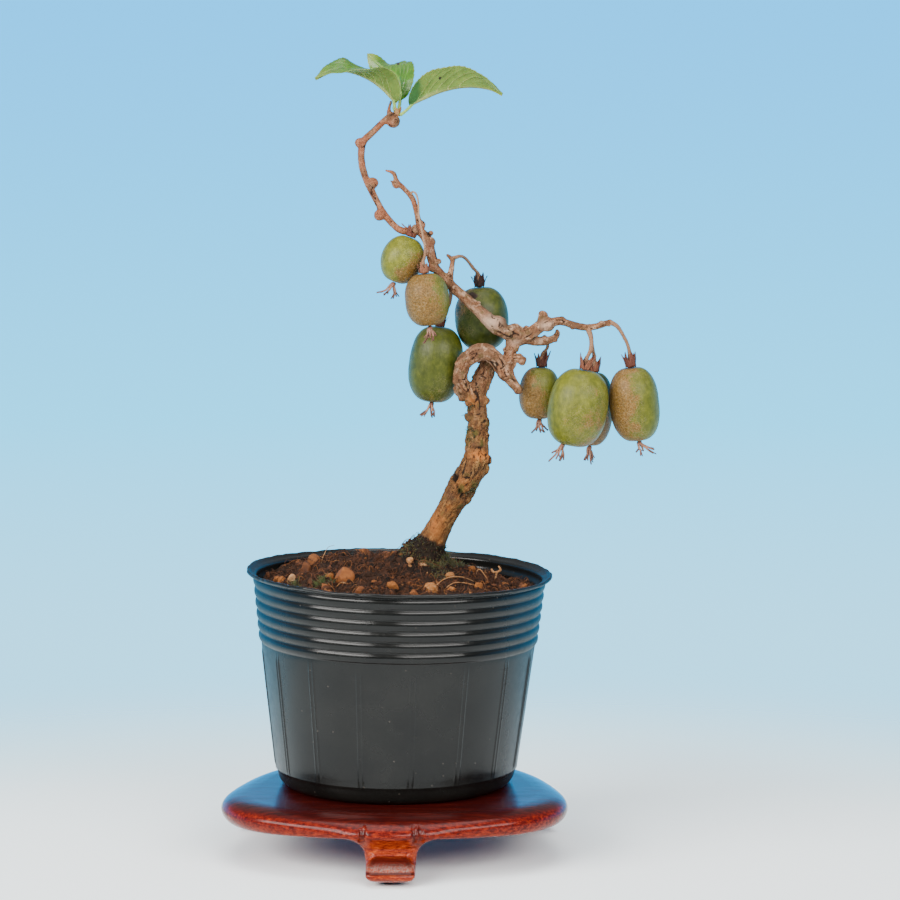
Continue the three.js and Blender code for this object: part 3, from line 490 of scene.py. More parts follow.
def outline_distance(x, y, corners):
    """Signed distance to a closed outline, below 0 inside."""
    nearest = np.full(len(x), 1e9)
    inside = np.ones(len(x))
    for (ax, ay), (bx, by) in zip(corners, corners[-1:] + corners[:-1]):
        ex, ey = bx - ax, by - ay
        wx, wy = x - ax, y - ay
        share = np.clip((wx * ex + wy * ey) / (ex * ex + ey * ey), 0.0, 1.0)
        nearest = np.minimum(nearest, (wx - ex * share) ** 2 + (wy - ey * share) ** 2)
        tests = np.stack([y >= ay, y < by, ex * wy > ey * wx])
        inside = np.where(tests.all(axis=0) | (~tests).all(axis=0), -inside, inside)
    return inside * np.sqrt(nearest)


def slab_distance(reach, z, turn):
    """Signed distance to the slab: its edge drawn out to the lobed outline, and scooped below at the legs."""
    edge = STAND["radius"] - STAND["lobe"] * np.cos(turn) + STAND["crest"] * np.cos(2.0 * turn)
    lift = STAND["scoop"] * (0.5 + 0.5 * np.cos(turn)) / STAND["slab"]
    level = (z - lift * STAND["height"]) / (1.0 - lift)
    underside = STAND["height"] - STAND["slab"]
    away = []
    for profile in (LOBE_EDGE, LEG_EDGE):
        fine, _ = curve([(STAND["radius"] - inset, 0.0, underside + height, 0.0) for inset, height in profile], 0.6)
        corners = [(-60.0, underside)] + [(x, h) for x, _, h in fine] + [(-60.0, STAND["height"])]
        away.append(outline_distance(reach * STAND["radius"] / edge, level, corners))
    share = 0.5 + 0.5 * np.cos(turn)
    return away[0] * (1.0 - share) + away[1] * share


def leg_frame(points):
    """Each point seen from the nearest leg: reach, three times its angle, how far out and how far along."""
    x, y = points[:, 0], points[:, 1] + STAND["forward"]
    reach, angle = np.hypot(x, y), np.arctan2(y, x)
    turn = 3.0 * (angle - math.radians(LEGS[0]))
    sector = ((turn + np.pi) % (2.0 * np.pi) - np.pi) / 3.0
    return reach, turn, reach * np.cos(sector), reach * np.sin(sector)


def groove_share(out, z):
    """1 where the grooves are deepest, and 0 beyond their ends."""
    return fade(*GROOVE["foot"], z) * fade(*GROOVE["top"], z) * fade(*GROOVE["reach"], out)


def stand_distance(points):
    """How far points lie outside the stand's carved surface, below 0 inside."""
    z = points[:, 2]
    reach, turn, out, along = leg_frame(points)
    body = slab_distance(reach, z, turn)
    front, _ = curve([(a, 0.0, b, 0.0) for a, b in LEG_FRONT], 0.4)
    half = np.interp(z, front[:, 2], front[:, 0])
    outline, _ = curve([(a, 0.0, b, 0.0) for a, b in LEG_SIDE], 0.8)
    side = outline_distance(out + along ** 2 / (2.0 * STAND["radius"]), z, [(a, b) for a, _, b in outline])
    leg = soft_max(soft_max(side, np.abs(along) - half, 1.1), -z, 0.3)
    body = soft_min(body, leg, 0.8)
    near = groove_share(out, z)
    plain = body
    for offset, radius in GROOVES:
        cut = np.hypot(plain, along - offset) - radius * near
        body = np.where(near > 0.01, soft_max(body, -cut, 0.25), body)
    return body


def settle(points, distance, rounds=3, step=0.02):
    """Moves points onto the surface where distance is 0."""
    for _ in range(rounds):
        here = distance(points)
        slope = np.stack([(distance(points + step * axis) - distance(points - step * axis)) / (2.0 * step)
                          for axis in np.eye(3)], axis=1)
        size = np.maximum(np.sum(slope * slope, axis=1), 0.2)
        move = np.clip(here / size, -0.5, 0.5)
        points = points - slope * move[:, None]
    return points


def lacquer():
    """Deep red lacquer over open-grained wood, mottled orange on the carved edge; painted shade darkens the level top
    and the carved grooves, and a painted highlight lies on the toes.
    """
    paint = Paint("lacquered_wood", Roughness=0.45, Specular_IOR_Level=0.03, Coat_Weight=1.0,
                  Coat_Roughness=0.17, Coat_IOR=1.22)
    grain = paint.noise(paint.place((0.06, 1.0, 1.0)), 1.2, 6.0, 0.65, 0.4)
    pores = paint.noise(paint.place((0.22, 2.8, 2.8)), 1.4, 3.0, 0.65)
    mottle = paint.noise(paint.place((0.45, 1.0, 1.1)), 1.5, 6.0, 0.75)
    level = paint.node("ShaderNodeSeparateXYZ", {0: paint.node("ShaderNodeNewGeometry", output="Normal")}, output="Z")
    spot = paint.node("ShaderNodeSeparateXYZ", {0: paint.place()}, output="Z")
    top = paint.ramp(grain, (0.3, (0.008, 0.001, 0.001)), (0.5, (0.028, 0.002, 0.0015)), (0.72, (0.07, 0.006, 0.003)))
    side = paint.ramp(mottle, (0.34, (0.016, 0.001, 0.001)), (0.46, (0.065, 0.002, 0.001)),
                      (0.58, (0.155, 0.009, 0.002)), (0.74, (0.29, 0.04, 0.006)))
    fiery = paint.ramp(mottle, (0.34, (0.05, 0.003, 0.001)), (0.46, (0.18, 0.016, 0.004)), (0.6, (0.31, 0.044, 0.009)),
                       (0.76, (0.44, 0.11, 0.022)))
    side = paint.mix(paint.span(spot, 13.2, 8.5, 0.0, 0.85), side, fiery)
    side = paint.mix(paint.span(grain, 0.53, 0.64, 0.0, 0.6), side, (0.05, 0.004, 0.002))
    # Painted shade: near black along the carved grooves and in the crease above each toe.
    side = paint.mix(paint.sum("MULTIPLY", paint.value("groove"), 0.9), side, (0.025, 0.002, 0.001))
    flecks = paint.noise(paint.place(), 2.6, 4.0, 0.7)
    # Painted highlight: pale speckles on the band along the top of each toe.
    toe_highlight = paint.sum("MULTIPLY", paint.value("worn"), paint.span(flecks, 0.45, 0.6, 0.1, 0.85))
    side = paint.mix(toe_highlight, side, (0.17, 0.12, 0.1))
    # Painted shade: the level top takes a darker copy of the red than the carved edge, chosen by the way the surface
    # faces.
    color = paint.mix(paint.span(level, 0.97, 0.62), top, side)
    color = paint.mix(paint.span(pores, 0.58, 0.72, 0.0, 0.7), color, (0.01, 0.001, 0.001))
    waves = paint.noise(paint.place((0.12, 0.2, 0.2)), 1.0, 2.0)
    peel = paint.sum("ADD", waves, paint.sum("MULTIPLY", flecks, 0.12))
    return paint.finish(Base_Color=color, Normal=paint.bump(pores, 0.03, 0.5), Coat_Normal=paint.bump(peel, 0.25, 0.3))


def cad_shape(node):
    """The points, in millimetres round the pot's axis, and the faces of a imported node."""
    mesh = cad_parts[node].data
    spots = np.empty(3 * len(mesh.vertices))
    mesh.vertices.foreach_get("co", spots)
    spots = spots.reshape(-1, 3) / METRE - SHIFT
    keys, back = np.unique(np.round(spots, 3), axis=0, return_inverse=True)
    faces = back.ravel()[np.array([list(face.vertices) for face in mesh.polygons])]
    return keys, [faces]


STAND_VOXEL = 0.48  # size of the quads of the stand's skin


def make_stand():
    points, faces = remeshed([cad_shape("stand")], STAND_VOXEL)
    points = settle(smoothed(points, faces, 10), stand_distance, 6)
    _, _, out, along = leg_frame(points)
    # Painted shade along the carved grooves at each leg.
    lines = sum(np.exp(-(((along - offset) / radius) ** 2)) for offset, radius in GROOVES)
    shade = groove_share(out, points[:, 2]) * lines
    # Painted highlight: a speckled pale band on the top of each toe.
    worn = fade(3.8, 4.1, points[:, 2]) * fade(6.1, 5.5, points[:, 2]) * fade(41.0, 41.8, out)
    # Painted shade in the crease above each toe.
    crease_shade = fade(3.1, 3.4, points[:, 2]) * fade(4.0, 3.8, points[:, 2]) * fade(43.2, 43.8, out)
    shade = shade + crease_shade
    stand = Shape()
    stand.add(points, face_arrays(faces), groove=np.clip(shade, 0.0, 1.0), worn=worn)
    stand.build("carved_stand", [lacquer()], "lacquered_wood", ["stand"])


make_stand()


# Pot

POT_FOOT = STAND["height"] + 0.1
POT = {
    "height": 54.0, "rim": 38.5, "rib_top": 37.0, "rib_foot": 35.1, "wall_top": 34.5, "wall_foot": 30.5,
    "foot": 28.0, "ribs": 6, "rib_pitch": 2.74, "rib_depth": 0.55, "bands": 16, "first_band": -83.0,
    "line_apart": 0.6, "line_width": 0.17, "line_height": 0.17, "under_lip": 1.5, "wall_start": 4.2,
    "skin": 0.6, "lean": 1.0, "rim_drop": 0.9,
}
POT_RIM = POT_FOOT + POT["height"]
RIB_BASE = POT_RIM - POT["under_lip"] - POT["ribs"] * POT["rib_pitch"]


def lean(points):
    """The thin pot leans a little, more so towards its rim, and what it holds leans with it."""
    points = np.array(points, dtype=float)
    up = np.clip((points[:, 2] - POT_FOOT) / POT["height"], 0.0, 1.0)
    across = points[:, 0].copy()
    points[:, 0] += POT["lean"] * up
    points[:, 2] -= POT["rim_drop"] * up * across / POT["rim"]
    return points


def rib_radius(height):
    """Radius of the ribbed zone: rounded bulges with a sharp groove between them."""
    share = (height - RIB_BASE) / (POT["ribs"] * POT["rib_pitch"])
    groove = POT["rib_foot"] + (POT["rib_top"] - POT["rib_foot"]) * share - POT["rib_depth"]
    bulge = np.abs(np.sin(np.pi * share * POT["ribs"])) ** 0.75
    return groove + POT["rib_depth"] * bulge


def pot_profile():
    """Radius and height from the middle of the underside over the rim to the middle of the inside."""
    foot, under = POT_FOOT, POT_FOOT + 1.2
    outside = [(0.0, under), (10.0, under), (19.0, under), (23.6, under), (24.6, foot + 0.5), (25.4, foot + 0.05),
               (26.6, foot), (27.6, foot + 0.02)]
    for t in np.linspace(0.12, 0.94, 8):
        bend = np.array([(1 - t) ** 2, 2 * t * (1 - t), t * t])
        outside.append((bend @ [27.6, 29.7, 30.3], bend @ [foot + 0.02, foot + 0.5, foot + 4.0]))
    outside += [(30.4, foot + 4.12), (30.62, foot + 4.3)]
    for height in np.linspace(foot + 4.6, RIB_BASE - 0.3, 26):
        share = (height - foot - POT["wall_start"]) / (RIB_BASE - foot - POT["wall_start"])
        outside.append((POT["wall_foot"] + share * (POT["wall_top"] - POT["wall_foot"]) + 0.08, height))
    outside.append((POT["wall_top"] + 0.04, RIB_BASE - 0.1))
    for height in np.linspace(RIB_BASE, POT_RIM - POT["under_lip"], 6 * 10 + 1):
        outside.append((float(rib_radius(height)), height))
    lip = [(36.75, -1.42), (37.5, -1.25), (38.1, -1.0), (38.42, -0.72), (38.5, -0.42), (38.42, -0.15),
           (38.2, -0.02), (37.95, -0.05), (37.72, -0.3), (37.4, -0.62), (36.8, -0.85), (36.2, -1.05)]
    outside += [(r, POT_RIM + z) for r, z in lip]
    inside = [(float(rib_radius(h)) - POT["skin"], h) for h in np.linspace(POT_RIM - 1.7, RIB_BASE, 48)]
    inside += [(33.8, RIB_BASE - 0.4), (32.0, 35.0), (29.9, foot + 4.6), (27.2, foot + 2.6), (14.0, foot + 2.5),
               (0.0, foot + 2.5)]
    return np.array(outside + inside)


def pot_turns():
    """Angles round the pot, close together where the raised double lines run."""
    panel = 360.0 / POT["bands"]
    close = np.linspace(-2.0, 2.0, 17)
    wide = np.linspace(2.0, panel - 2.0, 9)[1:-1]
    one = np.concatenate([close, wide])
    return np.radians(np.concatenate([POT["first_band"] + k * panel + one for k in range(POT["bands"])]))


def pot_points():
    profile, turns = pot_profile(), pot_turns()
    on_wall = fade(POT_FOOT + 4.5, POT_FOOT + 5.6, profile[:, 1]) * fade(RIB_BASE + 0.1, RIB_BASE - 0.6, profile[:, 1])
    outside = np.arange(len(profile)) < np.argmax(profile[:, 0] + 0.01 * profile[:, 1]) + 1
    rows = []
    for radius, height, wall, outer in zip(profile[:, 0], profile[:, 1], on_wall, outside):
        spots = np.stack([np.cos(turns), np.sin(turns), np.full(len(turns), height / 60.0)], axis=1)
        panel = np.radians(360.0 / POT["bands"])
        off = (turns - math.radians(POT["first_band"]) + panel / 2.0) % panel - panel / 2.0
        arc = off * max(radius, 1.0)
        line = sum(np.exp(-((arc - side * POT["line_apart"]) / POT["line_width"]) ** 2) for side in (-1.0, 1.0))
        relief = wall * outer * POT["line_height"] * (line + 0.35 * (np.abs(arc) < POT["line_apart"])) * fade(
            RIB_BASE - 0.3, RIB_BASE - 3.5, height)
        upper = fade(18.0, 60.0, height) * min(1.0, radius / 20.0)
        relief = relief + 0.14 * upper * noise(spots * 2.4, 31) + 0.03 * upper * noise(spots * 9.0, 32)
        crinkle = fade(1.9, 0.3, POT_RIM - height) * min(1.0, max(0.0, radius - 35.0) / 2.0)
        fine = noise(np.stack([turns * 30.0, turns * 0.0, turns * 0.0], axis=1), 33)
        coarse = noise(spots * 5.0 + 3.0, 34)
        reach = radius + relief + crinkle * 0.12 * fine
        lift = crinkle * (0.1 * fine + 0.22 * coarse)
        rows.append(np.stack([reach * np.cos(turns), reach * np.sin(turns), height + lift], axis=1))
    return lean(np.concatenate(rows)), len(profile), len(turns)


def black_plastic():
    paint = Paint("black_plastic", Roughness=0.2, Specular_IOR_Level=0.23)
    spot = paint.place()
    film = paint.noise(spot, 0.09, 3.0)
    dust = paint.noise(spot, 0.55, 6.0, 0.7)
    specks = paint.cells(spot, 0.32)
    color = paint.ramp(film, (0.3, (0.004, 0.004, 0.0036)), (0.7, (0.0078, 0.0076, 0.0066)))
    color = paint.mix(paint.span(dust, 0.58, 0.82, 0.0, 0.18), color, (0.04, 0.04, 0.036))
    color = paint.mix(paint.span(specks, 0.07, 0.035, 0.0, 0.4), color, (0.12, 0.1, 0.08))
    across = paint.sum("ADD", paint.node("ShaderNodeSeparateXYZ", {0: spot}, output="X"), -float(SHIFT[0]))
    scuffed = paint.span(paint.sum("ABSOLUTE", across), 23.0, 36.0, 0.0, 0.3)
    rough = paint.sum("ADD", paint.span(dust, 0.3, 0.75, 0.15, 0.24), scuffed)
    pitted = paint.noise(spot, 2.6, 3.0)
    return paint.finish(Base_Color=color, Roughness=rough, Normal=paint.bump(pitted, 0.02, 0.1))


def make_pot():
    points, rows, columns = pot_points()
    pot = Shape()
    faces = grid_faces(rows, columns, closed=True)
    wall = faces[columns:-columns]
    pot.add(points, [wall])
    middle = [columns * 1, columns * (rows - 2)]
    hubs = [points[:columns].mean(axis=0), points[-columns:].mean(axis=0)]
    base = pot.count
    pot.points.append(np.array(hubs))
    pot.count += 2
    k = np.arange(columns)
    following = (k + 1) % columns
    caps = [np.stack([np.full(columns, base), middle[0] + following, middle[0] + k], axis=1),
            np.stack([np.full(columns, base + 1), middle[1] + k, middle[1] + following], axis=1)]
    for cap in caps:
        pot.faces.extend(cap.tolist())
        pot.slots.extend([0] * len(cap))
    return pot.build("nursery_pot", [black_plastic()], "black_plastic", ["pot"])


make_pot()


# Wood: points of x, y, z and radius, as in the CAD source

LIMBS = {
    "trunk": [
        (6, 4, 60, 4), (7, 3.5, 66, 5), (8, 2.5, 72, 4.6), (8.6, 2, 76, 3.9), (10, 1.5, 79, 3.35), (12, 1, 83, 3),
        (13.8, 0.5, 86.5, 3.1), (15.1, 0, 89, 3.35), (16.6, -0.5, 91.8, 3.4), (18.3, -1, 94.2, 3.45),
        (19.9, -1.5, 97.6, 3.3), (20.5, -1, 101, 2.9), (20.3, -0.5, 104, 2.7), (20.6, 0, 107.3, 2.75),
        (20.6, 0.5, 110.8, 2.5), (20.2, 1, 114, 2.6), (19.8, 1, 116, 2.9),
    ],
    "loop": [
        (19, 1, 114.8, 2.1), (17.1, 0.5, 116.8, 1.95), (16.2, 0, 118.7, 1.9), (16.5, -0.5, 121, 1.9),
        (17.5, -1.5, 123.2, 2), (19.2, -2, 124.7, 2.15), (21.2, -2.5, 125.7, 2.2), (23, -2.5, 125.5, 2.1),
        (24.4, -2, 124.6, 1.95), (25.9, -1.5, 123, 1.95), (27.2, -1, 120.6, 1.95),
    ],
    "broken_stub": [(20.2, 1, 114.5, 2.6), (21.5, 1.5, 117.8, 2.5), (22.7, 2.5, 120.4, 2.4), (23.6, 3, 122.6, 2.1)],
    "crown": [
        (29.4, 0, 129.4, 1.8), (28.9, 0, 126.4, 1.55), (28.4, -0.5, 124, 1.5), (27.8, -1, 121.4, 1.8),
        (27.4, -1, 119.4, 1.7),
    ],
    "lower_stub": [(27.7, -1, 120, 1.6), (29.4, -1.5, 117.8, 1.35), (31, -2, 115.9, 1.25)],
    "side_stub": [(28.6, -0.5, 124.2, 1), (31, -1, 123.7, 0.95), (32.5, -1, 123.6, 0.75)],
    "main_branch": [
        (30.4, 0, 129.4, 1.8), (27.7, -1, 130.5, 1.8), (25.4, -1.5, 131.8, 1.9), (22.9, -2, 134, 1.75),
        (20.4, -2, 136.4, 1.5), (17.4, -2, 139.2, 1.4), (14.9, -2, 141.3, 1.25), (12.7, -2, 143.6, 1.2),
        (11.1, -1.5, 145.3, 1.15), (9.8, -1.5, 146.9, 1.15), (9.3, -1.5, 148.7, 1.25), (8.8, -1, 150.6, 1.3),
        (8.3, -1, 152.6, 1.25), (6.9, 0, 155, 1.15), (5.2, 0.5, 156.2, 1),
    ],
    "leader": [
        (6.6, 0, 155.6, 1), (3.7, 0.5, 155.5, 0.95), (1.5, 0.5, 155.8, 0.95), (-0.1, 1, 156.9, 0.9),
        (-2.8, 1.5, 159.9, 0.9), (-4.9, 2, 163.7, 0.9), (-7, 2, 167.9, 0.9), (-8.1, 1.5, 171.4, 0.9),
        (-8.4, 1, 174.9, 0.9), (-7.8, 0.5, 178, 0.9), (-5.5, 0, 180.3, 0.85), (-2.7, -0.5, 183, 0.85),
        (-0.7, -0.5, 184.6, 0.9),
    ],
    "leader_spike": [(-1.3, -0.5, 183.4, 0.65), (-1.5, 0, 185.8, 0.5), (-0.9, 0.2, 187.9, 0.4)],
    "dead_twig": [
        (7, 0, 154.4, 1), (6.1, 0.5, 156.9, 0.9), (5.3, 1, 160.4, 0.7), (4.3, 1.5, 163.7, 0.7),
        (2.2, 1.5, 166.2, 0.65), (0.4, 1.5, 168, 0.65), (-0.3, 1.5, 170, 0.6), (-2.4, 2, 170.7, 0.35),
    ],
    "dead_twig_spur": [(0.2, 1.5, 167.6, 0.4), (-0.7, 1, 167.9, 0.3), (-1.3, 1, 168.2, 0.25)],
    "prickle": [(4.2, 0.2, 156, 0.45), (2.7, -0.6, 156.6, 0.3), (1.6, -1, 157.7, 0.22)],
    "spur": [(13.7, -1.5, 142.3, 1), (13.8, -1.5, 144.8, 0.85), (14.2, -1, 147.2, 0.7), (14.4, -1, 149, 0.7)],
    "spur_tip": [(14.4, -1, 148.6, 0.65), (12.9, -1, 149.9, 0.4)],
    "right_branch": [
        (28.9, 0, 127.6, 1.7), (31.2, -0.5, 128.6, 1.65), (33.7, -1, 130, 1.65), (35.6, -1.5, 131.6, 1.55),
        (37.4, -2, 132.6, 1.4), (39.1, -2, 133, 1.15), (41.1, -2, 133.4, 1.1), (43.1, -2, 132.8, 0.9),
        (45.1, -2, 132.2, 0.9), (47.9, -1.5, 131.7, 0.95), (50.5, -1.5, 132.1, 0.85), (52.4, -1.5, 132.7, 0.75),
        (53.9, -1.5, 133.1, 0.75),
    ],
    "cup_stub": [(35.6, -1.5, 131.4, 1.3), (36.3, -2, 133.3, 0.95), (36.9, -2, 135.2, 1.3)],
    "right_spur": [
        (32.2, -0.5, 128.9, 1.4), (34.9, 0, 128.2, 1.25), (37.5, 0.5, 128.1, 1.15), (39.2, 0.5, 128.6, 1.0),
        (40.7, 0.5, 129.9, 0.75), (40.4, 0.4, 130.9, 0.5),
    ],
    "right_spur_fork": [(39, 0.5, 128.6, 0.6), (40.4, 0.4, 128.2, 0.5)],
}
KNOBS = [
    (21.6, -1, 96.4, 2), (21.6, 0, 108, 2), (16.2, 0.5, 115.8, 1.8), (14.7, -0.6, 91.2, 1.85), (25.6, -2, 132.6, 2.2),
    (29.8, -0.4, 130.6, 2.1), (27.6, -1.6, 120.3, 2.1), (9.3, -2.6, 146.6, 1.1), (8.7, -1.5, 153, 1.4),
    (6.4, 0.4, 157.2, 1.25), (-8.8, 1, 177.6, 1.25), (-5.6, 1.8, 167.6, 1.45), (-3.9, 1, 159.6, 1.5),
    (-0.5, -0.6, 183.9, 1.4), (0.3, 1, 167.3, 1.15), (38, -2.4, 132.6, 1.9),
]
# Small lumps, buds and scars that only the scene has: place and radius.
BUMPS = [
    (22.9, -2.6, 98.6, 1.2),
    (22.6, -1.6, 104.4, 1.1), (18.3, -1.6, 109.3, 1.2), (18.6, -1.2, 112.9, 1.3), (22.5, -0.8, 113.2, 1.2),
    (16.9, 0.8, 113.9, 1.2), (15.1, -0.6, 118.0, 0.9), (15.6, -1.9, 122.6, 0.9), (19.9, -3.5, 126.9, 0.8),
    (24.6, -3.3, 125.6, 0.9), (28.6, -2.3, 123.3, 0.9), (29.3, -1.2, 122.2, 1.0), (26.0, -2.2, 121.8, 0.9),
    (30.2, -1.4, 126.4, 0.9), (27.6, -1.3, 126.2, 0.8), (28.3, -2.4, 130.0, 1.0), (31.6, -1.6, 129.9, 0.9),
    (32.7, -0.6, 131.3, 1.0), (34.2, -2.2, 129.2, 0.7), (23.4, -3.2, 135.1, 0.8), (20.9, -2.9, 138.0, 0.6),
    (17.0, -3.0, 140.8, 0.55), (14.1, -2.8, 143.7, 0.55), (10.9, -2.4, 148.3, 0.75), (7.7, -1.9, 150.9, 0.7),
    (41.6, -2.3, 133.9, 0.75), (44.2, -2.2, 131.6, 0.5), (46.6, -1.8, 132.4, 0.55), (51.4, -1.8, 132.9, 0.65),
    (53.4, -1.6, 132.6, 0.7), (37.3, -0.2, 129.2, 0.7), (36.5, 0.4, 127.5, 0.6), (40.2, 0.3, 129.7, 0.6),
    (-1.6, 1.1, 158.0, 0.65), (-5.9, 2.4, 164.9, 0.6), (-8.6, 1.2, 173.2, 0.5), (-6.8, -0.1, 179.2, 0.6),
    (5.9, -0.4, 158.6, 0.55), (4.7, 0.7, 162.4, 0.5), (7.2, -0.9, 155.4, 0.8), (8.9, -0.3, 155.2, 0.7),
    (22.2, -1.8, 108.2, 1.4), (31.0, -1.0, 124.2, 1.1), (31.7, -1.2, 123.0, 1.0), (18.4, -1.0, 96.0, 1.6),
    (21.8, -2.2, 100.0, 1.4),
    (17.5, -0.6, 88.6, 1.75), (18.3, -0.4, 90.1, 1.8), (16.4, -0.8, 95.2, 1.3), (-0.4, -0.9, 183.0, 1.75),
]
WOOD_VOXEL = 0.25  # size of the quads of the bark's skin
# Clefts and holes, cut in and darkened with painted shade: from, to, width and depth
CLEFTS = [
    ((14.6, -2.2, 94.2), (15.2, -3.2, 92.3), 0.4, 1.3), ((15.2, -3.3, 92.3), (16.9, -3.8, 89.3), 0.32, 1.3),
    ((14.5, -2.1, 94.4), (14.8, -2.6, 94.0), 0.65, 1.6), ((16.9, -3.8, 89.4), (17.1, -3.9, 88.9), 0.65, 1.6),
    ((17.0, -3.9, 88.6), (16.3, -3.6, 86.4), 0.3, 0.6),
    ((19.5, -3.5, 101.6), (22.5, -3.5, 101.9), 0.3, 0.55), ((22.2, -3.1, 108.1), (22.5, -3.1, 108.3), 0.55, 1.1),
    ((18.6, -3.2, 104.9), (19.8, -3.3, 104.4), 0.35, 0.6),
]
# Bright orange bark: middle, reach along each axis and strength
WARM_SCARS = [
    (np.array([21.4, -3.8, 99.9]), np.array([2.5, 2.5, 1.1]), 0.95),
    (np.array([10.0, -1.5, 82.0]), np.array([1.6, 2.5, 4.0]), 0.5),
    (np.array([16.6, -3.6, 92.9]), np.array([1.8, 1.5, 1.4]), 0.4),
    (np.array([19.0, -2.6, 113.5]), np.array([2.0, 2.0, 1.6]), 0.4),
]
# Pale bare wood, as above
PALE_SCARS = [
    (np.array([23.8, -3.6, 133.2]), np.array([2.6, 2.5, 1.7]), 0.55),
    (np.array([37.4, -3.0, 132.3]), np.array([1.3, 1.5, 1.1]), 0.55),
    (np.array([29.6, -2.0, 128.0]), np.array([1.8, 2.0, 1.0]), 0.2),
]


def limb_samples():
    """Places, radii, directions and lengths run along the middle lines of all the limbs."""
    places, radii, ways, runs = [], [], [], []
    for k, points in enumerate(LIMBS.values()):
        spots, sizes = curve(points, 0.5)
        step = np.linalg.norm(spots[1] - spots[0])
        places.append(spots)
        radii.append(sizes)
        ways.append(unit(np.gradient(spots, axis=0)))
        runs.append(np.arange(len(spots)) * step + 57.0 * k)
    return tuple(np.concatenate(part) for part in (places, radii, ways, runs))


def unrolled(points):
    """Each point's place seen from the limb that it lies on: across, outward and along; and that limb's radius."""
    places, radii, ways, runs = limb_samples()
    local, size = np.zeros_like(points), np.zeros(len(points))
    for start in range(0, len(points), 4000):
        part = points[start:start + 4000]
        away = np.linalg.norm(part[:, None] - places[None], axis=2) / radii[None]
        nearest = away.argmin(axis=1)
        way = ways[nearest]
        across = unit(np.cross([[0.0, 1.0, 0.0]], way))
        offset = part - places[nearest]
        outward = np.cross(way, across)
        rows = slice(start, start + len(part))
        local[rows, 0] = np.sum(offset * across, axis=1)
        local[rows, 1] = np.sum(offset * outward, axis=1)
        local[rows, 2] = runs[nearest] + np.sum(offset * way, axis=1)
        size[rows] = radii[nearest]
    return local, size


def creases(points, stretch, width, seed):
    """1 in the middle of thin winding lines, falling to 0 at their edges."""
    return 1.0 - fade(0.0, width, np.abs(noise(points * np.array(stretch), seed)))


def wood_skin():
    ball_points, ball_faces = ball(3)
    sources = []
    for points in LIMBS.values():
        places, radii = rounded(*curve(points, 0.8))
        sources.append(tubes(places[None], radii[None], 20))
    for x, y, z, radius in KNOBS + BUMPS:
        sources.append((ball_points * radius * np.array([1.0, 0.9, 1.0]) + np.array([x, y, z]), [ball_faces]))
    points, faces = remeshed(sources, WOOD_VOXEL)
    return smoothed(points, faces, 5), faces


def make_bark_relief(points, faces):
    """The skin with its bark, and how deep in a crack and how high on a lump each point lies."""
    local, size = unrolled(points)
    normals = normals_of(points, faces)
    coarse = np.clip(size / 2.9, 0.2, 1.0)
    height = points[:, 2]
    upper = fade(89.0, 97.0, height) * fade(128.0, 120.0, height)
    smooth = 0.55 * fade(92.0, 86.0, height)
    thick = fade(1.3, 2.4, size)
    lumps = layered(local * [0.42, 0.42, 0.3], 3, 41)
    knots = layered(local * [0.8, 0.8, 0.9], 2, 45)
    furrows = creases(local, (1.5, 1.5, 0.26), 0.13, 51) * (0.35 + 0.65 * fade(-0.3, 0.3, noise(local * 0.4, 52)))
    checks = creases(local, (0.6, 0.6, 1.5), 0.11, 53) * fade(0.0, 0.35, noise(local * 0.55, 54))
    plates = creases(local, (1.9, 1.9, 0.9), 0.12, 55)
    grain = noise(local * [5.0, 5.0, 0.9], 56)
    crumbs = layered(local * [3.2, 3.2, 2.4], 2, 57)
    flakes = fade(0.1, 0.5, noise(local * [1.6, 1.6, 0.6], 58))
    depth = (0.24 - 0.16 * smooth) * furrows + (0.1 + 0.14 * upper) * checks
    depth = depth + (0.12 - 0.07 * smooth) * plates * thick
    rise = (0.30 - 0.12 * smooth) * lumps + (0.10 + 0.28 * upper) * knots + 0.06 * grain * thick + 0.07 * crumbs
    rise = rise + (0.09 - 0.05 * smooth) * flakes
    cleft = np.zeros(len(points))
    for start, end, width, deep in CLEFTS:
        start, end = np.array(start), np.array(end)
        share = np.clip((points - start) @ (end - start) / np.sum((end - start) ** 2), 0.0, 1.0)[:, None]
        away = np.linalg.norm(points - (start + share * (end - start)), axis=1) + 0.25 * noise(points * 1.4, 59)
        cleft = np.maximum(cleft, deep * np.exp(-((away / width) ** 2)))
    moved = points + normals * (coarse * (rise - depth) - cleft)[:, None]
    return moved, np.clip(depth * 3.2 + 0.9 * cleft, 0.0, 1.0), np.clip(0.5 + rise, 0.0, 1.0), local


